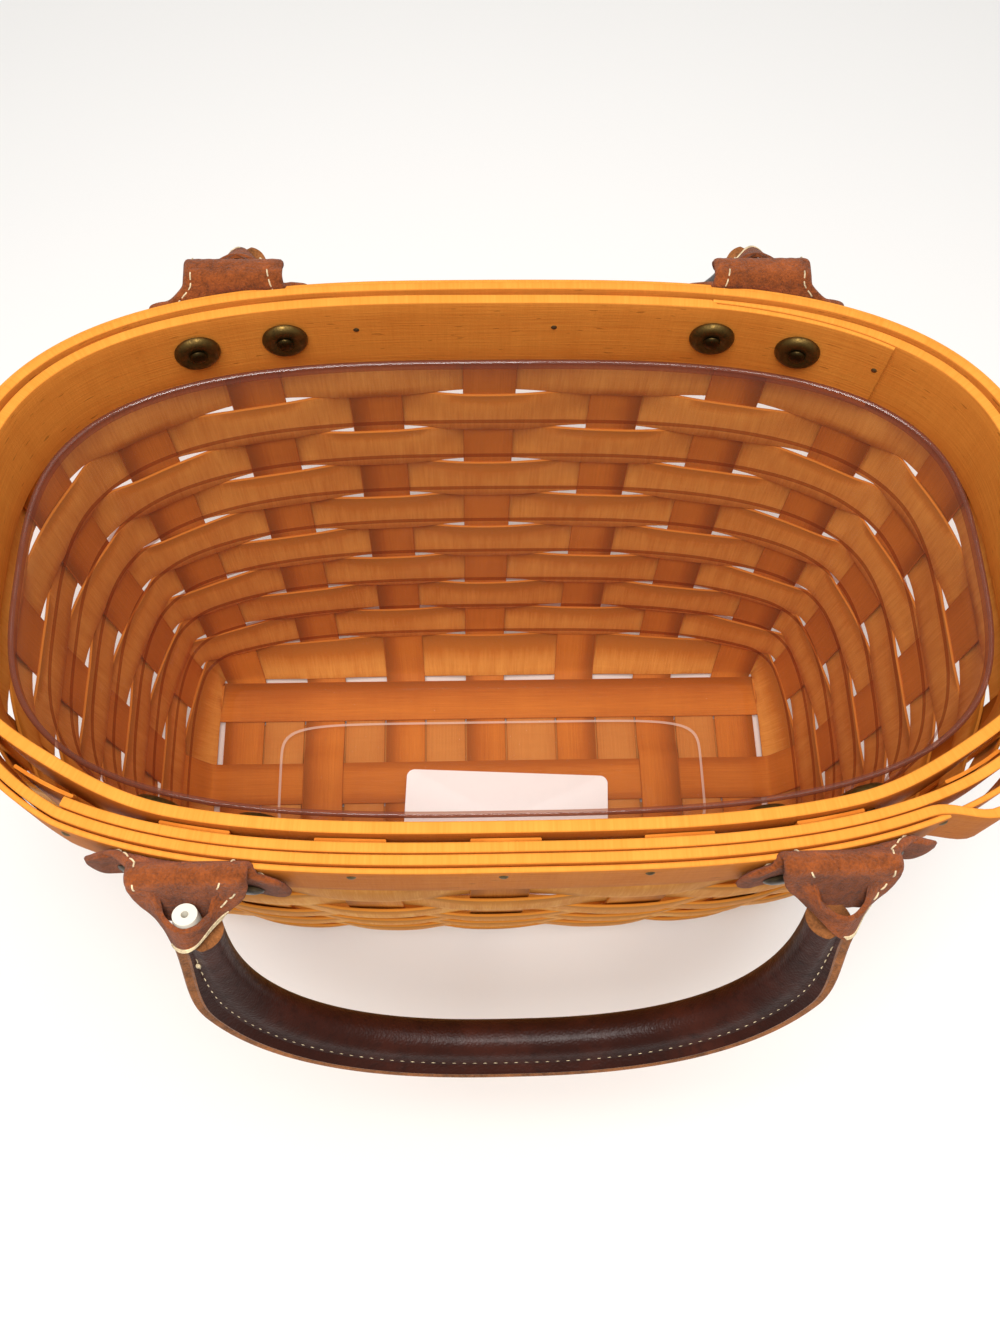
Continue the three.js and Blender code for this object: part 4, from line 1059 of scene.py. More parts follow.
class BASKET_OT_weavers(bpy.types.Operator):
    """Weave the ten rows of the wall"""
    bl_idname = "basket.weavers"
    bl_label = "Weavers"

    def execute(self, context):
        tones = context.scene.basket_wood
        looks = maple("weaver", tones, 0.9, 0.25)
        for row in range(len(ROW_SLOPES)):
            weaver(row, looks, tones.waviness / MM)
        return {"FINISHED"}


class BASKET_OT_stakes(bpy.types.Operator):
    """Bend the upright stakes across the base and up the walls"""
    bl_idname = "basket.stakes"
    bl_label = "Stakes"

    def execute(self, context):
        tones = context.scene.basket_wood
        looks = maple("stake", tones, 0.2, 0.7)
        for kind, count, width, first_seed in (("cross", CROSS_COUNT, CROSS_WIDTH, 0),
                                               ("long", LONG_COUNT, LONG_WIDTH, 10)):
            for number, place in enumerate(range(0, count, 2), start=1):
                ends = [SIDES["keys"].index((kind, place, side)) for side in (1, -1)]
                stake(f"upright_{kind}_{number}", f"{kind}_stake_{number}", ends, width, looks,
                      first_seed + number, tones.waviness / MM,
                      hump=kind == "cross" and number in (2, 6))
        return {"FINISHED"}


class BASKET_OT_base(bpy.types.Operator):
    """Lay the short splints that close the base"""
    bl_idname = "basket.base"
    bl_label = "Base splints"

    def execute(self, context):
        looks = maple("base", context.scene.basket_wood, 0.25, 0.6)
        for number, place in enumerate(range(1, CROSS_COUNT, 2), start=1):
            base_strip(f"base_cross_{number}", f"cross_filler_{number}",
                       (CROSS_X[place], 0.0, layer_z(1)), BASE_HALF_WIDTH, CROSS_WIDTHS[place],
                       (0.0, 1.0, 0.0), looks, number)
        for number, place in enumerate(range(1, LONG_COUNT, 2), start=1):
            base_strip(f"base_long_{number}", f"long_filler_{number}",
                       (0.0, LONG_Y[place], layer_z(0)), BASE_HALF_LENGTH, LONG_WIDTH,
                       (1.0, 0.0, 0.0), looks, 20 + number)
        return {"FINISHED"}


class BASKET_OT_bands(bpy.types.Operator):
    """Bend the inner band, the outer band and the trim round the rim"""
    bl_idname = "basket.bands"
    bl_label = "Rim bands"

    def execute(self, context):
        looks = maple("band", context.scene.basket_wood, 0.3, 0.75, fleck=0.5, bright_edge=True)
        shares = np.linspace(INNER_BAND["start"], INNER_END, INNER_BAND["stations"])
        near, far = inner_faces(shares)
        band("rim_inner", "inner_band", shares, near, far, RIM_TOP - INNER_BAND["height"],
             RIM_TOP, looks, 3, INNER_TORN)
        shares = np.linspace(OUTER_BAND["start"], OUTER_END, OUTER_BAND["stations"])
        low = outer_low(shares) + SPRING * ease((shares - OUTER_END) / SPRING_REACH + 1) ** 1.5
        band("rim_outer", "outer_band", shares, low, low + OUTER_BAND["thick"],
             RIM_TOP - OUTER_BAND["height"], RIM_TOP, looks, 5)
        shares = np.linspace(TRIM["start"], TRIM["start"] + 1 - TRIM["gap"], TRIM["stations"])
        low, top = trim_face(shares), RIM_TOP - TRIM["drop"]
        band("rim_trim", "trim_strip", shares, low, low + TRIM["thick"], top - TRIM["height"],
             top, looks, 7)
        return {"FINISHED"}


TACK_PLACES, TACK_DROP = (-103.5, -38.5, -3.0, 31.5, 101.0), 5.5
NAIL_PLACES, NAIL_DROP = (111.0, 16.0, -42.0), 11.0
WASHER_GAP = 0.45
RIVET_PLACES = [(side, hand, place) for side in (1, -1) for hand in (-1, 1) for place in (-1, 1)]

# Half sections as rows of radius and height. A washer stands on the inner band's face, a
# rivet's head on the strap and its tip on the washer; a tack's head is on the trim
WASHER = np.array([(2.3, 0.8), (2.3, 1.5), (3.0, 1.75), (4.2, 2.15), (5.2, 2.1), (6.0, 1.5),
                   (6.45, 0.9), (6.6, 0.55), (6.6, 0.1), (6.4, 0.0), (5.6, 0.8), (4.6, 1.4),
                   (3.2, 1.1)])
RIVET_HEAD = np.array([(0.02, -1.2), (1.6, -1.12), (2.9, -0.85), (3.8, -0.45), (4.2, -0.12),
                       (4.15, 0.0), (1.9, 0.0)])
RIVET_TIP = np.array([(1.9, 0.0), (2.4, 0.0), (2.45, 0.35), (2.2, 0.75), (1.4, 1.1),
                      (0.02, 1.2)])
TACK = np.array([(0.02, -0.5), (0.6, -0.42), (1.0, -0.22), (1.2, 0.0), (1.1, 0.3), (0.02, 0.3)])
NAIL = np.array([(0.02, -0.2), (0.7, -0.2), (0.9, 0.1), (0.5, 0.35), (0.02, 0.4)])
SIDE_NAME = {1: "back", -1: "front"}
HAND_NAME = {-1: "left", 1: "right"}


class BASKET_OT_fixings(bpy.types.Operator):
    """Set the rivets, the dished washers and the tacks"""
    bl_idname = "basket.fixings"
    bl_label = "Rivets, washers and tacks"

    def execute(self, context):
        tones = context.scene.basket_fittings
        brass = metal("aged_brass", tones.brass)
        dark = metal("dark_rivet", shifted(tones.brass, 0.35), rough=0.35)
        for side, hand, place in RIVET_PLACES:
            x = hand * EAR_X + place * RIVET_SPREAD
            share = np.array(share_at_x(x, side))
            tag = f"{SIDE_NAME[side]}_{HAND_NAME[hand]}_{(place + 3) // 2}"
            floor = float(inner_reach(share)) + WASHER_GAP
            tip = floor + 1.5 + SEAT
            head = float(strap_face(share)) + STRAP_THICK + SEAT
            washer = on_rim(WASHER + [0.0, floor], x, side, RIVET_DROP, 40)
            fit(f"dished_washer_{tag}", [washer], [brass], "basket", "brass", f"washer_{tag}")
            section = np.concatenate([RIVET_HEAD - [0.0, head], RIVET_TIP + [0.0, tip]])
            rivet = on_rim(section, x, side, RIVET_DROP, 32)
            fit(f"domed_rivet_{tag}", [rivet], [dark], "basket", "brass", f"rivet_{tag}")
        heads = [tack_head(x, side) for side in (-1, 1) for x in TACK_PLACES]
        heads += [nail_tip(x) for x in NAIL_PLACES]
        fit("tack_heads", heads, [metal("dull_steel", tones.steel, rough=0.5)], "basket", "brass")
        return {"FINISHED"}


def tack_head(x, side):
    """A small dome nailed through the trim."""
    face = float(trim_face(np.array(share_at_x(x, side)))) + TRIM["thick"]
    return on_rim(TACK - [0.0, face], x, side, TACK_DROP, 12)


def nail_tip(x):
    """The clenched end of a nail on the inside of the back rim."""
    face = float(inner_reach(np.array(share_at_x(x, 1))))
    return on_rim(NAIL + [0.0, face], x, 1, NAIL_DROP, 10)


def open_spline(knots, count):
    """A smooth open line through knots, cubic between neighbours, at `count` even stations."""
    knots = np.asarray(knots, dtype=float)
    run = run_length(knots)
    slope = np.gradient(knots, run, axis=0)
    places = np.linspace(0.0, run[-1], count)
    k = np.clip(np.searchsorted(run, places, side="right") - 1, 0, len(knots) - 2)
    size = (run[k + 1] - run[k])[:, None]
    t = (places[:, None] - run[k][:, None]) / size
    return cubic(t, knots[k], size * slope[k], knots[k + 1], size * slope[k + 1])


def leather_sheet(middle, half_thick, first=0.35, last=0.35):
    """A middle surface thickened both ways, its edges drawn in; first and last thin its ends."""
    up = unit(np.cross(np.gradient(middle, axis=0), np.gradient(middle, axis=1)))
    rows, cols = middle.shape[:2]
    side = np.sqrt(np.clip(1.0 - np.abs(np.linspace(-1.0, 1.0, cols)) ** 26, 0.06, 1.0))
    end = np.ones(rows)
    end[0], end[-1] = first, last
    offset = up * (half_thick * side[None] * end[:, None])[..., None]
    return np.concatenate([middle + offset, (middle - offset)[:, ::-1]], axis=1), up


def drape(middle, up, rows, cols, lift):
    """Points of a surface at fractional rows and columns, lifted along its normal."""
    i = np.clip(np.floor(rows).astype(int), 0, middle.shape[0] - 2)
    j = np.clip(np.floor(cols).astype(int), 0, middle.shape[1] - 2)
    a, b = (rows - i)[:, None], (cols - j)[:, None]

    def mixed(field):
        low = lerp(field[i, j], field[i, j + 1], b)
        return lerp(low, lerp(field[i + 1, j], field[i + 1, j + 1], b), a)

    return mixed(middle) + unit(mixed(up)) * lift, unit(mixed(up))


def thread_tube(line, radius):
    """A round thread along a line: rings square to it."""
    along = unit(np.gradient(line, axis=0))
    side = unit(np.cross(along, [0.31, 0.42, 0.85]))
    return surface(line[:, None] + radius * spokes(side, np.cross(along, side), THREAD_SIDES))


def ear_strap(side, hand):
    """Middle surface of the fixed half of an ear, from the low edge of its wings to the fold.

    Below the rim each point stands on the trim, square to the oval; above it the sheet bends
    out over the trim, level with the fold. The tips of the wings curl away from the trim, the
    inner ones less, so that they stay behind the fold's line and don't turn with the handle.
    """
    face = strap_face(np.array(share_at_x(hand * EAR_X, side))) + STRAP_THICK / 2
    root = abs(float(rim_at(np.array(hand * EAR_X), side, 0)[1])) + float(face)
    reach = HINGE_Y - root
    low = RIM_TOP - WING_LOW
    line = open_spline(
        [(root, low, 18.5), (root, low + 1.4, 21.4), (root, low + 4.0, WING_HALF),
         (root, RIM_TOP - 7.6, WING_HALF), (root, RIM_TOP - 5.4, 21.6),
         (root, RIM_TOP - 3.8, 19.2), (root, RIM_TOP - 2.4, 16.2), (root, RIM_TOP - 0.7, 14.6),
         (root + 0.24 * reach, HINGE_Z - 0.4, EAR_HALF),
         (HINGE_Y - 2.0, HINGE_Z, EAR_HALF)], STRAP_ROWS)
    out, z, half = line.T
    s = np.linspace(-1.0, 1.0, EAR_COLUMNS)
    across = half[:, None] * s
    xy = rim_at(hand * EAR_X + across, side, 0)
    normal = oval_normal(xy)
    rough = wander(s, 7 * side + 3 * hand + 20, (3, 7, 11))
    tip = ease((np.abs(across) - 15.0) / 7.0) * np.where(across * hand < 0, INNER_CURL, 1.0)
    stand = strap_face(share_at_x(xy[..., 0], side)) + STRAP_THICK / 2 + tip * (2.2 + 0.6 * rough)
    wall = xy + normal * stand[..., None]
    on_trim = ease((RIM_TOP - 0.4 - z) / 3.0)[:, None]
    x = lerp(hand * EAR_X + across, wall[..., 0], on_trim)
    y = lerp(side * out[:, None], wall[..., 1], on_trim)
    return np.stack([x, y, z[:, None] + 0.35 * on_trim * rough], axis=-1)


# Rows and columns of an ear's sheet. At the rows given, a seam lies so many columns from the
# middle one, on the outer side (True) and the inner side (False)
STRAP_ROWS, EAR_COLUMNS, MIDDLE_COLUMN = 54, 61, 30
EAR_SEAM = {"row": [18.0, 27.0, 36.0, 50.0, 62.0, 70.0],
            True: [25.0, 24.0, 24.0, 25.5, 25.5, 24.0],
            False: [25.0, 24.0, 24.0, 21.0, 15.0, 14.0]}
POUCH_SEAM = {"row": [7.0, 12.0, 18.0, 24.0], True: [24.5, 23.0, 19.0, 14.0],
              False: [16.5, 15.5, 15.5, 16.0]}
BINDING_ROWS = (31.0, 33.6, 36.2)
EAR_STITCH = (2.2, 3.0, 0.22)
POUCH_HALF_THICK = 0.72
SEAM_STATIONS, BINDING_STATIONS = 40, 26
TAB_STATIONS, POUCH_STATIONS = 38, 40

# Rows between which the ear's seams run: on the strap, then on the tab
STRAP_SEAM, TAB_SEAM = (18.0, 57.0), (57.5, 70.0)

# Drop, half width and outward shift of the moving half of an ear, from the fold to the foot
TAB_SHAPE = np.array([(0.0, 14.0, 0.0), (3.0, 13.8, 0.0), (6.0, 12.9, 0.1), (8.5, 11.6, 0.4),
                      (11.0, 9.6, 1.1), (13.0, 7.6, 2.0), (15.0, 5.6, 2.9), (16.2, 5.0, 3.3)])
TAB_DROP = TAB_SHAPE[-1, 0]

# Along its drop, how far the pouch's layer reaches from the tube and how far it stands off,
# where it is deep and where it lies flatter over its mouth
POUCH_DROPS = (7.0, 10.0, 13.0, 16.0)
POUCH_WIDTHS = (11.0, 10.4, 9.6, 9.2)
POUCH_SWELLS = {True: (7.9, 8.2, 8.8, 9.6), False: (3.6, 5.4, 7.8, 9.6)}


def tab_outline(drop):
    """Half width and outward shift of the tab at a drop below the fold."""
    return (np.interp(drop, TAB_SHAPE[:, 0], TAB_SHAPE[:, k]) for k in (1, 2))


def tab_middle(hand):
    """Middle surface of the tab in the handle's frame: a plane sheet that narrows to its foot."""
    drop = np.linspace(1.4, TAB_DROP, TAB_STATIONS)
    half, shift = tab_outline(drop)
    s = np.linspace(-1.0, 1.0, EAR_COLUMNS)
    x = hand * (EAR_X + shift[:, None]) + half[:, None] * s
    ripple = 0.06 * np.sin(2.1 * x)
    return np.stack([x, ripple, np.broadcast_to(-drop[:, None], x.shape)], axis=-1)


def ear_middle(side, hand):
    """Middle surface of a whole ear: strap, tab, and a cubic bridge that turns over the fold."""
    strap = ear_strap(side, hand)
    tab = handle_place(tab_middle(-hand if side > 0 else hand), side)
    if side > 0:
        tab = tab[:, ::-1]
    t = np.linspace(0.0, 1.0, 9)[1:-1, None, None]
    size = np.linalg.norm(tab[0] - strap[-1], axis=-1, keepdims=True) * 1.15
    leave, arrive = unit(strap[-1] - strap[-3]) * size, unit(tab[1] - tab[0]) * size
    return np.concatenate([strap, cubic(t, strap[-1], leave, tab[0], arrive), tab])


def pouch_middle(hand, deep):
    """Middle surface of the pouch's layer in the handle's frame.

    It stands off the tab by swell * cos^2 of the way from the tube to the layer's edge. Its
    upper edge is the lip of the mouth over the tube, and runs up to the fold on both sides.
    Where deep is false the layer lies flatter over the mouth, for a tube that ends further in.
    """
    s = np.linspace(-1.0, 1.0, EAR_COLUMNS)
    off = TAB_SHAPE[3, 1] * s - bail_drift(np.array(TAB_MOUTH)) - TUBE_SHIFT
    side_of = ease((np.abs(off) - POUCH_MOUTH) / 1.6)
    top = TAB_MOUTH + 0.9 * np.clip(np.abs(off) / POUCH_MOUTH, 0, 1) ** 2 - 6.0 * side_of
    foot = TAB_DROP - 0.2 - 4.0 * ease((0.3 - s) / 1.2)
    drop = top + np.linspace(0.0, 1.0, POUCH_STATIONS)[:, None] * (foot - top)
    half, shift = tab_outline(drop)
    x = shift + half * s
    away = np.abs(x - bail_drift(drop) - TUBE_SHIFT)
    width = np.interp(drop, POUCH_DROPS, POUCH_WIDTHS)
    swell = np.interp(drop, POUCH_DROPS, POUCH_SWELLS[deep])
    bell = np.cos(np.clip(away / width, 0.0, 1.0) * math.pi / 2) ** 2
    rise = ease((drop - 1.2 - 2.6 * ease((away - POUCH_MOUTH) / 1.6)) / 5.4)
    out = 0.15 + 0.75 * ease(drop / 9.0) + swell * bell * rise
    return np.stack([hand * (EAR_X + x), -out, -drop], axis=-1)


class BASKET_OT_ears(bpy.types.Operator):
    """Cut and sew the four leather ears"""
    bl_idname = "basket.ears"
    bl_label = "Leather ears"

    def execute(self, context):
        tones = context.scene.basket_leather
        suede = rough_leather("suede_ear", tones.suede)
        thread = rough_leather("ear_thread", tones.thread, 0.0002)
        for side in (-1, 1):
            for hand in (-1, 1):
                self.sheet(side, hand, suede, thread)
                self.pouch(side, hand, suede, thread)
        return {"FINISHED"}

    def sheet(self, side, hand, suede, thread):
        """The whole ear, which turns at its fold, and the seams on both its halves."""
        middle = ear_middle(side, hand)
        grid, up = leather_sheet(middle, STRAP_THICK / 2)
        name = f"{SIDE_NAME[side]}_ear_{HAND_NAME[hand]}"
        skin = surface(grid, run=run_length(middle[:, MIDDLE_COLUMN]))
        ear = assemble(name, [skin], [suede], sharp=LEATHER_SHARP)
        tag = f"{SIDE_NAME[side]}_ear"
        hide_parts(f"{tag}_strap_{HAND_NAME[hand]}", f"{tag}_tab_{HAND_NAME[hand]}")
        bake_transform(ear)
        outward = np.sign(up[50, MIDDLE_COLUMN, 2]) * (STRAP_THICK / 2 + 0.02)
        for body, ends in (("basket", STRAP_SEAM), (f"{SIDE_NAME[side]}_handle", TAB_SEAM)):
            rows, seams = np.linspace(*ends, SEAM_STATIONS), []
            for turn in (-1, 1):
                reach = np.interp(rows, EAR_SEAM["row"], EAR_SEAM[turn == hand])
                line, normal = drape(middle, up, rows, MIDDLE_COLUMN + turn * reach, outward)
                seams += stitches(line, normal * np.sign(outward), *EAR_STITCH, 0.5)
            fit(f"{name}_stitching_{body}", seams, [thread], body, "thread")

    def pouch(self, side, hand, suede, thread):
        """The layer over the tube's end, its seams and the thread wound round its foot."""
        within = -hand if side > 0 else hand
        body, tag = f"{SIDE_NAME[side]}_handle", f"{SIDE_NAME[side]}_ear"
        layer = pouch_middle(within, side < 0)
        front, up = leather_sheet(layer, POUCH_HALF_THICK, first=0.85, last=0.6)
        fit(f"{tag}_pouch_{HAND_NAME[hand]}", [surface(handle_place(front, side))], [suede],
            body, "suede", sharp=LEATHER_SHARP)
        facing = np.sign(-up[20, MIDDLE_COLUMN, 1])
        lift = facing * (POUCH_HALF_THICK + 0.04)
        threads = []
        for turn in (-1, 1):
            outer = turn == within
            rows = np.linspace(7.0, 24.0 if outer else 17.0, SEAM_STATIONS)
            reach = np.interp(rows, POUCH_SEAM["row"], POUCH_SEAM[outer])
            line, normal = drape(layer, up, rows, MIDDLE_COLUMN + turn * reach, lift)
            placed = handle_place(line, side)
            threads += stitches(placed, handle_place(line + normal * facing, side) - placed,
                                *EAR_STITCH, 0.3)
        cols = MIDDLE_COLUMN + within * np.linspace(-6.0, 26.0, BINDING_STATIONS)[::within]
        for row in BINDING_ROWS:
            line, _ = drape(layer, up, row + 0.5 * np.sin(cols * 0.4), cols, lift)
            threads.append(thread_tube(handle_place(line, side), 0.2))
        fit(f"{tag}_binding_{HAND_NAME[hand]}", threads, [thread], body, "thread")


GRIP_FOOT = 14.4
GRIP_STATIONS, TUBE_STATIONS, TUBE_SIDES = 150, 110, 28
GRIP_TAPER, TUBE_TAPER = 0.36, 0.3
TUBE_BEVEL = 0.4
STITCH_GAP = 0.85
NECK = 3.5


def slimmed(reach, end):
    """The flange's reach where the handle nears its end: what lies past NECK drawn in."""
    return reach - np.clip(reach - NECK, 0.0, None) * 0.72 * end


def handle_section():
    """Rolled leather: a round tube whose two layers meet and run out as a flange.

    Points are (towards the flange's upper face, along the flange) about the core: the upper
    layer's edge and face, a hollow curve into the circle, then the lower layer. Kinds mark
    the raw edges, and lap the points of the lower edge, which runs past the upper one.
    """
    half, tip = FLANGE_THICK / 2, GRIP_RADIUS + FLANGE
    circle = compass(np.radians(np.linspace(42.0, 318.0, 34)))[:, ::-1] * (GRIP_RADIUS - 0.2)
    upper_edge = [(0.25, tip - 0.75), (half - 0.75, tip - 0.72), (half - 0.3, tip - 0.95)]
    face = np.linspace((half - 0.2, tip - 1.3), (half, tip - 3.6), 5)
    rise = [(half + 0.1, GRIP_RADIUS + 0.6), (half + 0.75, GRIP_RADIUS - 0.3),
            (half + 1.6, GRIP_RADIUS - 1.2)]
    lower = [(-half, GRIP_RADIUS + 0.9), (-half, tip - 2.0), (-half + 0.05, tip - 0.35),
             (-half + 0.35, tip), (-half + 0.9, tip + 0.05), (-0.05, tip - 0.1)]
    ring = np.concatenate([upper_edge, face, rise, circle, lower])
    kinds, lap = np.zeros(len(ring), dtype=int), np.zeros(len(ring))
    kinds[:2] = kinds[-5:] = 1
    lap[-5:-1] = 1.0
    return ring, kinds, lap


def handle_frames(angle):
    """Along the bail: its line, then the directions of the flange's face and of its run.

    The run leans from the plane of the U to its outside by the flange's tilt.
    """
    line = bail_line(angle)
    way = unit(np.gradient(line, axis=0))
    outward = np.stack([way[:, 2], np.zeros(len(way)), -way[:, 0]], axis=-1)
    square = np.broadcast_to([0.0, -1.0, 0.0], line.shape)
    c, s = cos_sin(FLANGE_TILT)
    return line, square * c - outward * s, outward * c + square * s


def near_end(angle, reach):
    """1 at both ends of a row of angles, easing to 0 at `reach` from them."""
    return ease(1 - np.minimum(angle - angle[0], angle[-1] - angle) / reach)


class BASKET_OT_handles(bpy.types.Operator):
    """Roll the handle leather round its tube and sew its flange"""
    bl_idname = "basket.handles"
    bl_label = "Handles"

    def execute(self, context):
        tones = context.scene.basket_leather
        looks = [smooth_leather("polished_leather", tones.handle),
                 rough_leather("raw_edge", tones.raw_edge, 0.0004)]
        thread = rough_leather("waxed_thread", tones.thread, 0.0002)
        tube_look = plain_plastic("tube_plastic", context.scene.basket_fittings.tube, 0.4, 0.75)
        foot = float(bail_angle(np.array(GRIP_FOOT)))
        angle = np.linspace(foot, math.pi - foot, GRIP_STATIONS)
        line, face, run_out = handle_frames(angle)
        section, kinds, lap = handle_section()
        end = near_end(angle, GRIP_TAPER)[:, None]
        reach = slimmed(section[None, :, 1], end) + lap * (0.5 + 0.9 * end)
        grid = (line[:, None] + section[None, :, 0, None] * face[:, None]
                + reach[..., None] * run_out[:, None])
        stitch = tones.stitch / MM
        for side in (-1, 1):
            body = f"{SIDE_NAME[side]}_handle"
            fit(f"{body}_grip", [surface(handle_place(grid, side), material=kinds)], looks, body,
                "leather", f"{body}_leather")
            threads = []
            for turn, out, rise in ((1, GRIP_RADIUS - 0.1, 0.3), (-1, GRIP_RADIUS + 0.9, 0.02)):
                seam = line + run_out * slimmed(out, end) + face * turn * (FLANGE_THICK / 2 + rise)
                placed = handle_place(seam, side)
                threads += stitches(placed, handle_place(seam + face * turn, side) - placed,
                                    stitch, stitch + STITCH_GAP, 0.2, 5.0)
                if turn > 0:
                    threads.append(self.knot(seam[4], face[4], side))
            fit(f"{body}_stitching", threads, [thread], body, "thread")
            self.tube(body, side, tube_look)
        return {"FINISHED"}

    def knot(self, middle, face, side):
        """The lump that starts the seam, a flattened ball on the flange."""
        profile = compass(np.linspace(0.0, math.pi, 8)[1:-1])[:, ::-1] * [0.85, -0.65]
        return surface(handle_place(lathe(profile, middle, face, 12), side))

    def tube(self, body, side, look):
        """The plastic tube: up its outside, over a bevel and down its bore again."""
        first, last = (float(bail_angle(np.array(top))) for top in TUBE_TOPS[side])
        angle = np.linspace(first, math.pi - last, TUBE_STATIONS)
        line, face, run_out = handle_frames(angle)
        line[:, 0] += np.sign(line[:, 0]) * TUBE_SHIFT * 1.1 * near_end(angle, TUBE_TAPER)
        ring = spokes(face, run_out, TUBE_SIDES)
        bevel, wall, bore = (line[:, None] + ring * radius for radius in (
            CORE_RADIUS - TUBE_BEVEL, CORE_RADIUS, CORE_BORE))
        grid = np.concatenate([bevel[:1], wall[1:-1], bevel[-1:], bore[::-1]])
        fit(f"{body}_tube", [surface(handle_place(grid, side), closed_along=True)], [look], body,
            "core", f"{body}_core")


def liner_ring(heights, inset):
    """Closed rings inside the wall: cubic between stakes, set in by `inset`."""
    point, tangent, _, _ = wall_frames(heights)
    nxt, nxt_tangent = (np.roll(field, -1, axis=0)[:, None] for field in (point, tangent))
    point, tangent = point[:, None], tangent[:, None]
    chord = np.linalg.norm(nxt - point, axis=-1, keepdims=True)
    t = (np.arange(LINER_PARTS) / LINER_PARTS)[None, :, None, None]
    ring = cubic(t, point, tangent * chord, nxt, nxt_tangent * chord)
    flat = unit(lerp(tangent, nxt_tangent, t))
    inward = with_z(np.stack([-flat[..., 1], flat[..., 0]], axis=-1), 0.0)
    ring = ring + inward * np.asarray(inset, dtype=float)[None, None, :, None]
    return np.moveaxis(ring, 2, 0).reshape(len(heights), -1, 3)


def panel_ring(ring, half_length, half_width, z):
    """The base ring drawn in to |x/a|^7 + |y/b|^7 = 1, level at z."""
    way = ring[:, :2] / ring[:, :2].max(axis=0)
    size = (np.abs(way) ** 7).sum(axis=-1, keepdims=True) ** (1 / 7)
    return with_z(way / size * [half_length, half_width], z)


# Looks of the liner's parts: tint, share of gloss at a slant, veil, share of the veil. The ridge's
# dark veil is painted shade along each step of the wall, and the bend's pale veil is a painted
# highlight round the edge of the raised panel.
LINER_LOOKS = (("", None, 0.16, (240, 214, 200), 0.03),
               ("_lip", (228, 192, 174), 0.7, (122, 76, 60), 0.42),
               ("_ridge", (232, 200, 190), 0.5, (112, 58, 40), 0.45),
               ("_bend", (250, 240, 232), 0.7, (255, 240, 226), 0.42))
LINER_FLOOR = layer_z(2) + SPLINT_THICK / 2 + SEAT
LINER_DROP = 18.0
LINER_INSET = 11.2
LINER_PARTS = 12
PANEL_RISE = 2.4

# Levels within a row of the weave at which the liner's wall has a ring
STEP_LEVELS = np.array([-0.06, -0.03, 0.0, 0.03, 0.06, 0.3, 0.5, 0.7])

# Rings of the raised panel as half length, half width and rise; those of the lip as the way
# inward and up from its outermost ring
PANEL = ((2.0, 1.0, PANEL_RISE), (60.0, 16.0, PANEL_RISE), (89.5, 25.0, PANEL_RISE),
         (90.6, 26.1, 2.1), (92.0, 27.5, 0.3), (93.0, 28.5, 0.0))
PANEL_BEND = 2
LIP = ((1.6, -3.0), (0.9, -2.4), (0.2, -1.6), (0.0, -0.8), (0.2, -0.2), (0.7, 0.0),
       (1.2, -0.1), (1.6, -0.5))
LIP_OUTER = SPLINT_THICK / 2 + STAKE_PLAY + INNER_BAND["thick"] + 5.8


class BASKET_OT_liner(bpy.types.Operator):
    """Drop the clear moulded liner into the basket"""
    bl_idname = "basket.liner"
    bl_label = "Clear liner"

    def execute(self, context):
        tones = context.scene.basket_fittings
        looks = [clear_plastic(f"clear_plastic{part}", rgb(*tint) if tint else tones.liner_tint,
                               shine, rgb(*veil), share)
                 for part, tint, shine, veil, share in LINER_LOOKS]
        heights = np.concatenate([np.linspace(1.5, 2.8, 12),
                                  (np.arange(3, 11)[:, None] + STEP_LEVELS).ravel(), [10.8]])
        riser = 1 - 2 * ease(np.mod(heights + 0.06, 1.0) / 0.12)
        inset = (LINER_INSET - 1.5 * ease((3.0 - heights) / 1.5)
                 + tones.liner_step / MM * 0.5 * riser * (heights > 2.5))
        # Rings at the steps, which take the ridge look: painted shade along each step
        ridge = (np.mod(heights + 0.035, 1.0) < 0.05) & (heights > 2.9)
        base = liner_ring([0.0], [3.5])[0]
        panel = [panel_ring(base, length, width, LINER_FLOOR + rise)
                 for length, width, rise in PANEL]
        skirt = [with_z(lerp(panel[-1], base, k)[:, :2], LINER_FLOOR) for k in (0.5, 0.9, 1.0)]
        lip = [with_z(liner_ring([len(LEVEL_Z) - 1], [LIP_OUTER + inward])[0, :, :2],
                      RIM_TOP - LINER_DROP + z) for inward, z in LIP]
        rings = np.array([*panel, *skirt, *liner_ring(heights, inset), *lip])
        kinds = np.concatenate([np.zeros(len(panel) + len(skirt), dtype=int),
                                np.where(ridge, 2, 0), np.ones(len(LIP), dtype=int)])
        # The panel's bevel takes the pale bend look: a painted highlight round the raised panel
        kinds[PANEL_BEND] = 3
        skin = surface(rings, caps=False)
        skin["kinds"] = np.repeat(kinds[:-1], rings.shape[1])
        skin["ends"] = [np.arange(rings.shape[1])]
        fit("moulded_liner", [skin], looks, "liner", "clear", "clear_liner", sharp=LEATHER_SHARP)
        return {"FINISHED"}


CARD_HALF = np.array([42.8, 20.0])
CARD_RADIUS, CARD_THICK, CARD_BEVEL = 3.4, 0.5, 0.08
CARD_TURN = -3.0
CARD_LIFT = 0.15
CARD_POINTS = 48
CARD_PLACE = np.array([5.5, -17.5])


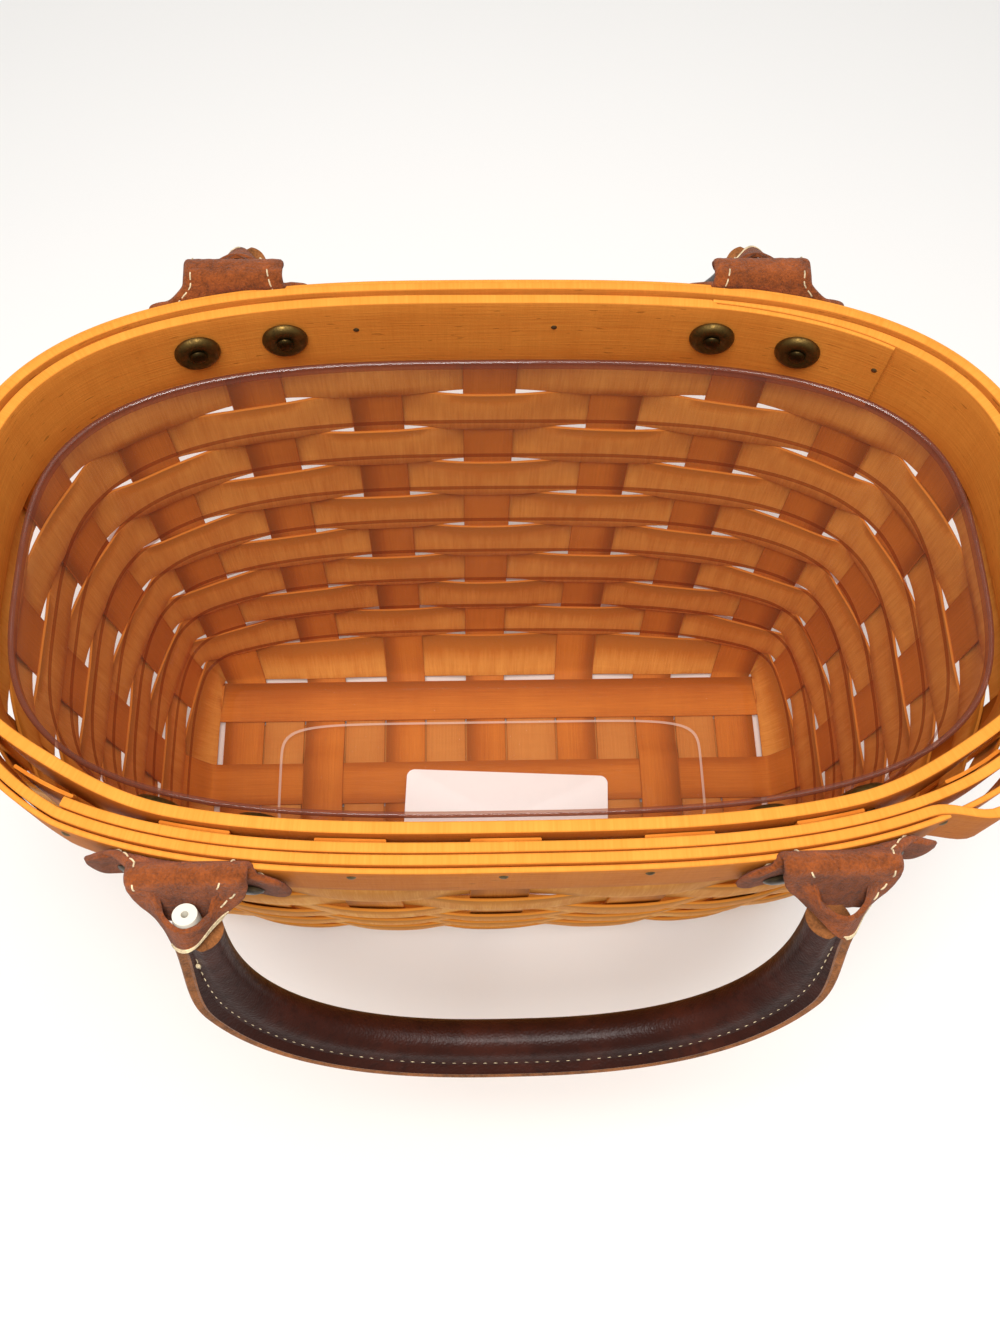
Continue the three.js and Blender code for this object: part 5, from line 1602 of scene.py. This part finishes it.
class BASKET_OT_card(bpy.types.Operator):
    """Lay the blank card on the liner's raised floor"""
    bl_idname = "basket.card"
    bl_label = "Blank card"

    def execute(self, context):
        look = plain_plastic("blank_card", context.scene.basket_fittings.card, 0.35, 0.93)
        way = compass(TAU * (np.arange(CARD_POINTS) + 0.5) / CARD_POINTS)
        ring = np.sign(way) * (CARD_HALF - CARD_RADIUS) + CARD_RADIUS * way
        c, s = cos_sin(CARD_TURN)
        ring = ring @ np.array([[c, s], [-s, c]])
        floor = LINER_FLOOR + PANEL_RISE + CARD_LIFT
        levels = ((0.02, 0.0), (0.995, 0.0), (1.0, CARD_BEVEL), (1.0, CARD_THICK - CARD_BEVEL),
                  (0.995, CARD_THICK), (0.02, CARD_THICK))
        grid = np.array([with_z(ring * scale + CARD_PLACE, floor + z) for scale, z in levels])
        fit("blank_card", [surface(grid)], [look], "liner", "card")
        return {"FINISHED"}


def stand(name, data, axes, place):
    """Links a lamp or camera whose right, up and back are the axes."""
    matrix = np.eye(4)
    matrix[:3, :3] = np.transpose(axes)
    matrix[:3, 3] = place
    holder = bpy.data.objects.new(name, data)
    holder.matrix_world = matrix.T
    bpy.context.scene.collection.objects.link(holder)
    return holder


# Lamps: place, aim, size and tint; each one's power is the stage's setting of its name
LAMPS = {"key": ((-0.12, -0.22, 1.15), (0, 0, 0.1), (0.6, 0.4), (1.0, 0.985, 0.965)),
         "front": ((-0.03, -0.22, 0.66), (0, 0.03, 0.12), (0.14, 0.1), (1.0, 0.985, 0.96)),
         "fill": ((0.25, 0.1, 1.3), (0, 0, 0.1), (0.9, 0.9), (1.0, 0.99, 0.98))}


def area_lamp(name, power):
    """A rectangular lamp that looks from its place to its aim."""
    place, aim, size, tint = LAMPS[name]
    lamp = bpy.data.lights.new(f"{name}_lamp", "AREA")
    lamp.shape = "RECTANGLE"
    lamp.size, lamp.size_y = size
    lamp.energy = power
    lamp.color = tint
    back = unit(np.array(place) - np.array(aim))
    side = unit(np.cross([0.0, 1.0, 0.01], back))
    stand(f"{name}_lamp", lamp, (side, np.cross(back, side), back), place)


def photo_camera():
    """Camera axes from pitch below the horizon, yaw to the right and roll."""
    level, sink = cos_sin(CAMERA_PITCH)
    north, east = cos_sin(CAMERA_YAW)
    ahead = np.array([east * level, north * level, -sink])
    right = np.array([north, -east, 0.0])
    down = np.cross(ahead, right)
    c, s = cos_sin(CAMERA_ROLL)
    data = bpy.data.cameras.new("photo_camera")
    data.sensor_fit = "AUTO"
    data.sensor_width = 36.0
    data.lens = CAMERA_LENS
    data.clip_start = 0.01
    axes = (c * right + s * down, s * right - c * down, -ahead)
    bpy.context.scene.camera = stand("photo_camera", data, axes, CAMERA_PLACE)


class BASKET_OT_stage(bpy.types.Operator):
    """Set the floor, the soft lamps and the camera"""
    bl_idname = "basket.stage"
    bl_label = "Stage"

    def execute(self, context):
        stage = context.scene.basket_stage
        r = Recipe("pale_floor")
        cloud = r.noise(r.space(3.0), detail=2.0)
        tone = r.mix(r.span(cloud, 0.3, 0.7, 0.0, 0.5), stage.floor, shifted(stage.floor, 0.985))
        mesh = bpy.data.meshes.new("floor")
        corners = FLOOR_HALF * np.array([(-1.0, -1.0), (1.0, -1.0), (1.0, 1.0), (-1.0, 1.0)])
        mesh.from_pydata(with_z(corners, FLOOR_Z).tolist(), [], [[0, 1, 2, 3]])
        mesh.materials.append(r.finish(Base_Color=tone, Roughness=0.9))
        floor = bpy.data.objects.new("floor", mesh)
        context.scene.collection.objects.link(floor)
        world = bpy.data.worlds.new("studio")
        world.use_nodes = True
        sky = world.node_tree.nodes["Background"]
        sky.inputs[0].default_value = (1.0, 0.995, 0.99, 1.0)
        sky.inputs[1].default_value = stage.sky
        context.scene.world = world
        context.scene.view_settings.view_transform = "Standard"
        for name in LAMPS:
            area_lamp(name, getattr(stage, name))
        photo_camera()
        return {"FINISHED"}


STEPS = (BASKET_OT_weavers, BASKET_OT_stakes, BASKET_OT_base, BASKET_OT_bands,
         BASKET_OT_fixings, BASKET_OT_ears, BASKET_OT_handles, BASKET_OT_liner,
         BASKET_OT_card, BASKET_OT_stage)
GROUPS = {"basket_wood": BasketWood, "basket_leather": BasketLeather,
          "basket_fittings": BasketFittings, "basket_stage": BasketStage}


class BASKET_PT_panel(bpy.types.Panel):
    """Sizes, colours and steps of the basket"""
    bl_label = "Woven basket"
    bl_idname = "BASKET_PT_panel"
    bl_space_type = "VIEW_3D"
    bl_region_type = "UI"
    bl_category = "Basket"

    def draw(self, context):
        for key, group in GROUPS.items():
            box = self.layout.box()
            for name in group.__annotations__:
                box.prop(getattr(context.scene, key), name)
        for step in STEPS:
            self.layout.operator(step.bl_idname)


def register():
    for group in (*GROUPS.values(), *STEPS, BASKET_PT_panel):
        bpy.utils.register_class(group)
    for key, group in GROUPS.items():
        setattr(bpy.types.Scene, key, bpy.props.PointerProperty(type=group))


def unregister():
    for key in GROUPS:
        delattr(bpy.types.Scene, key)
    for group in (BASKET_PT_panel, *STEPS[::-1], *list(GROUPS.values())[::-1]):
        bpy.utils.unregister_class(group)


def main():
    register()
    for step in STEPS:
        group, call = step.bl_idname.split(".")
        getattr(getattr(bpy.ops, group), call)()


if __name__ == "__main__":
    main()
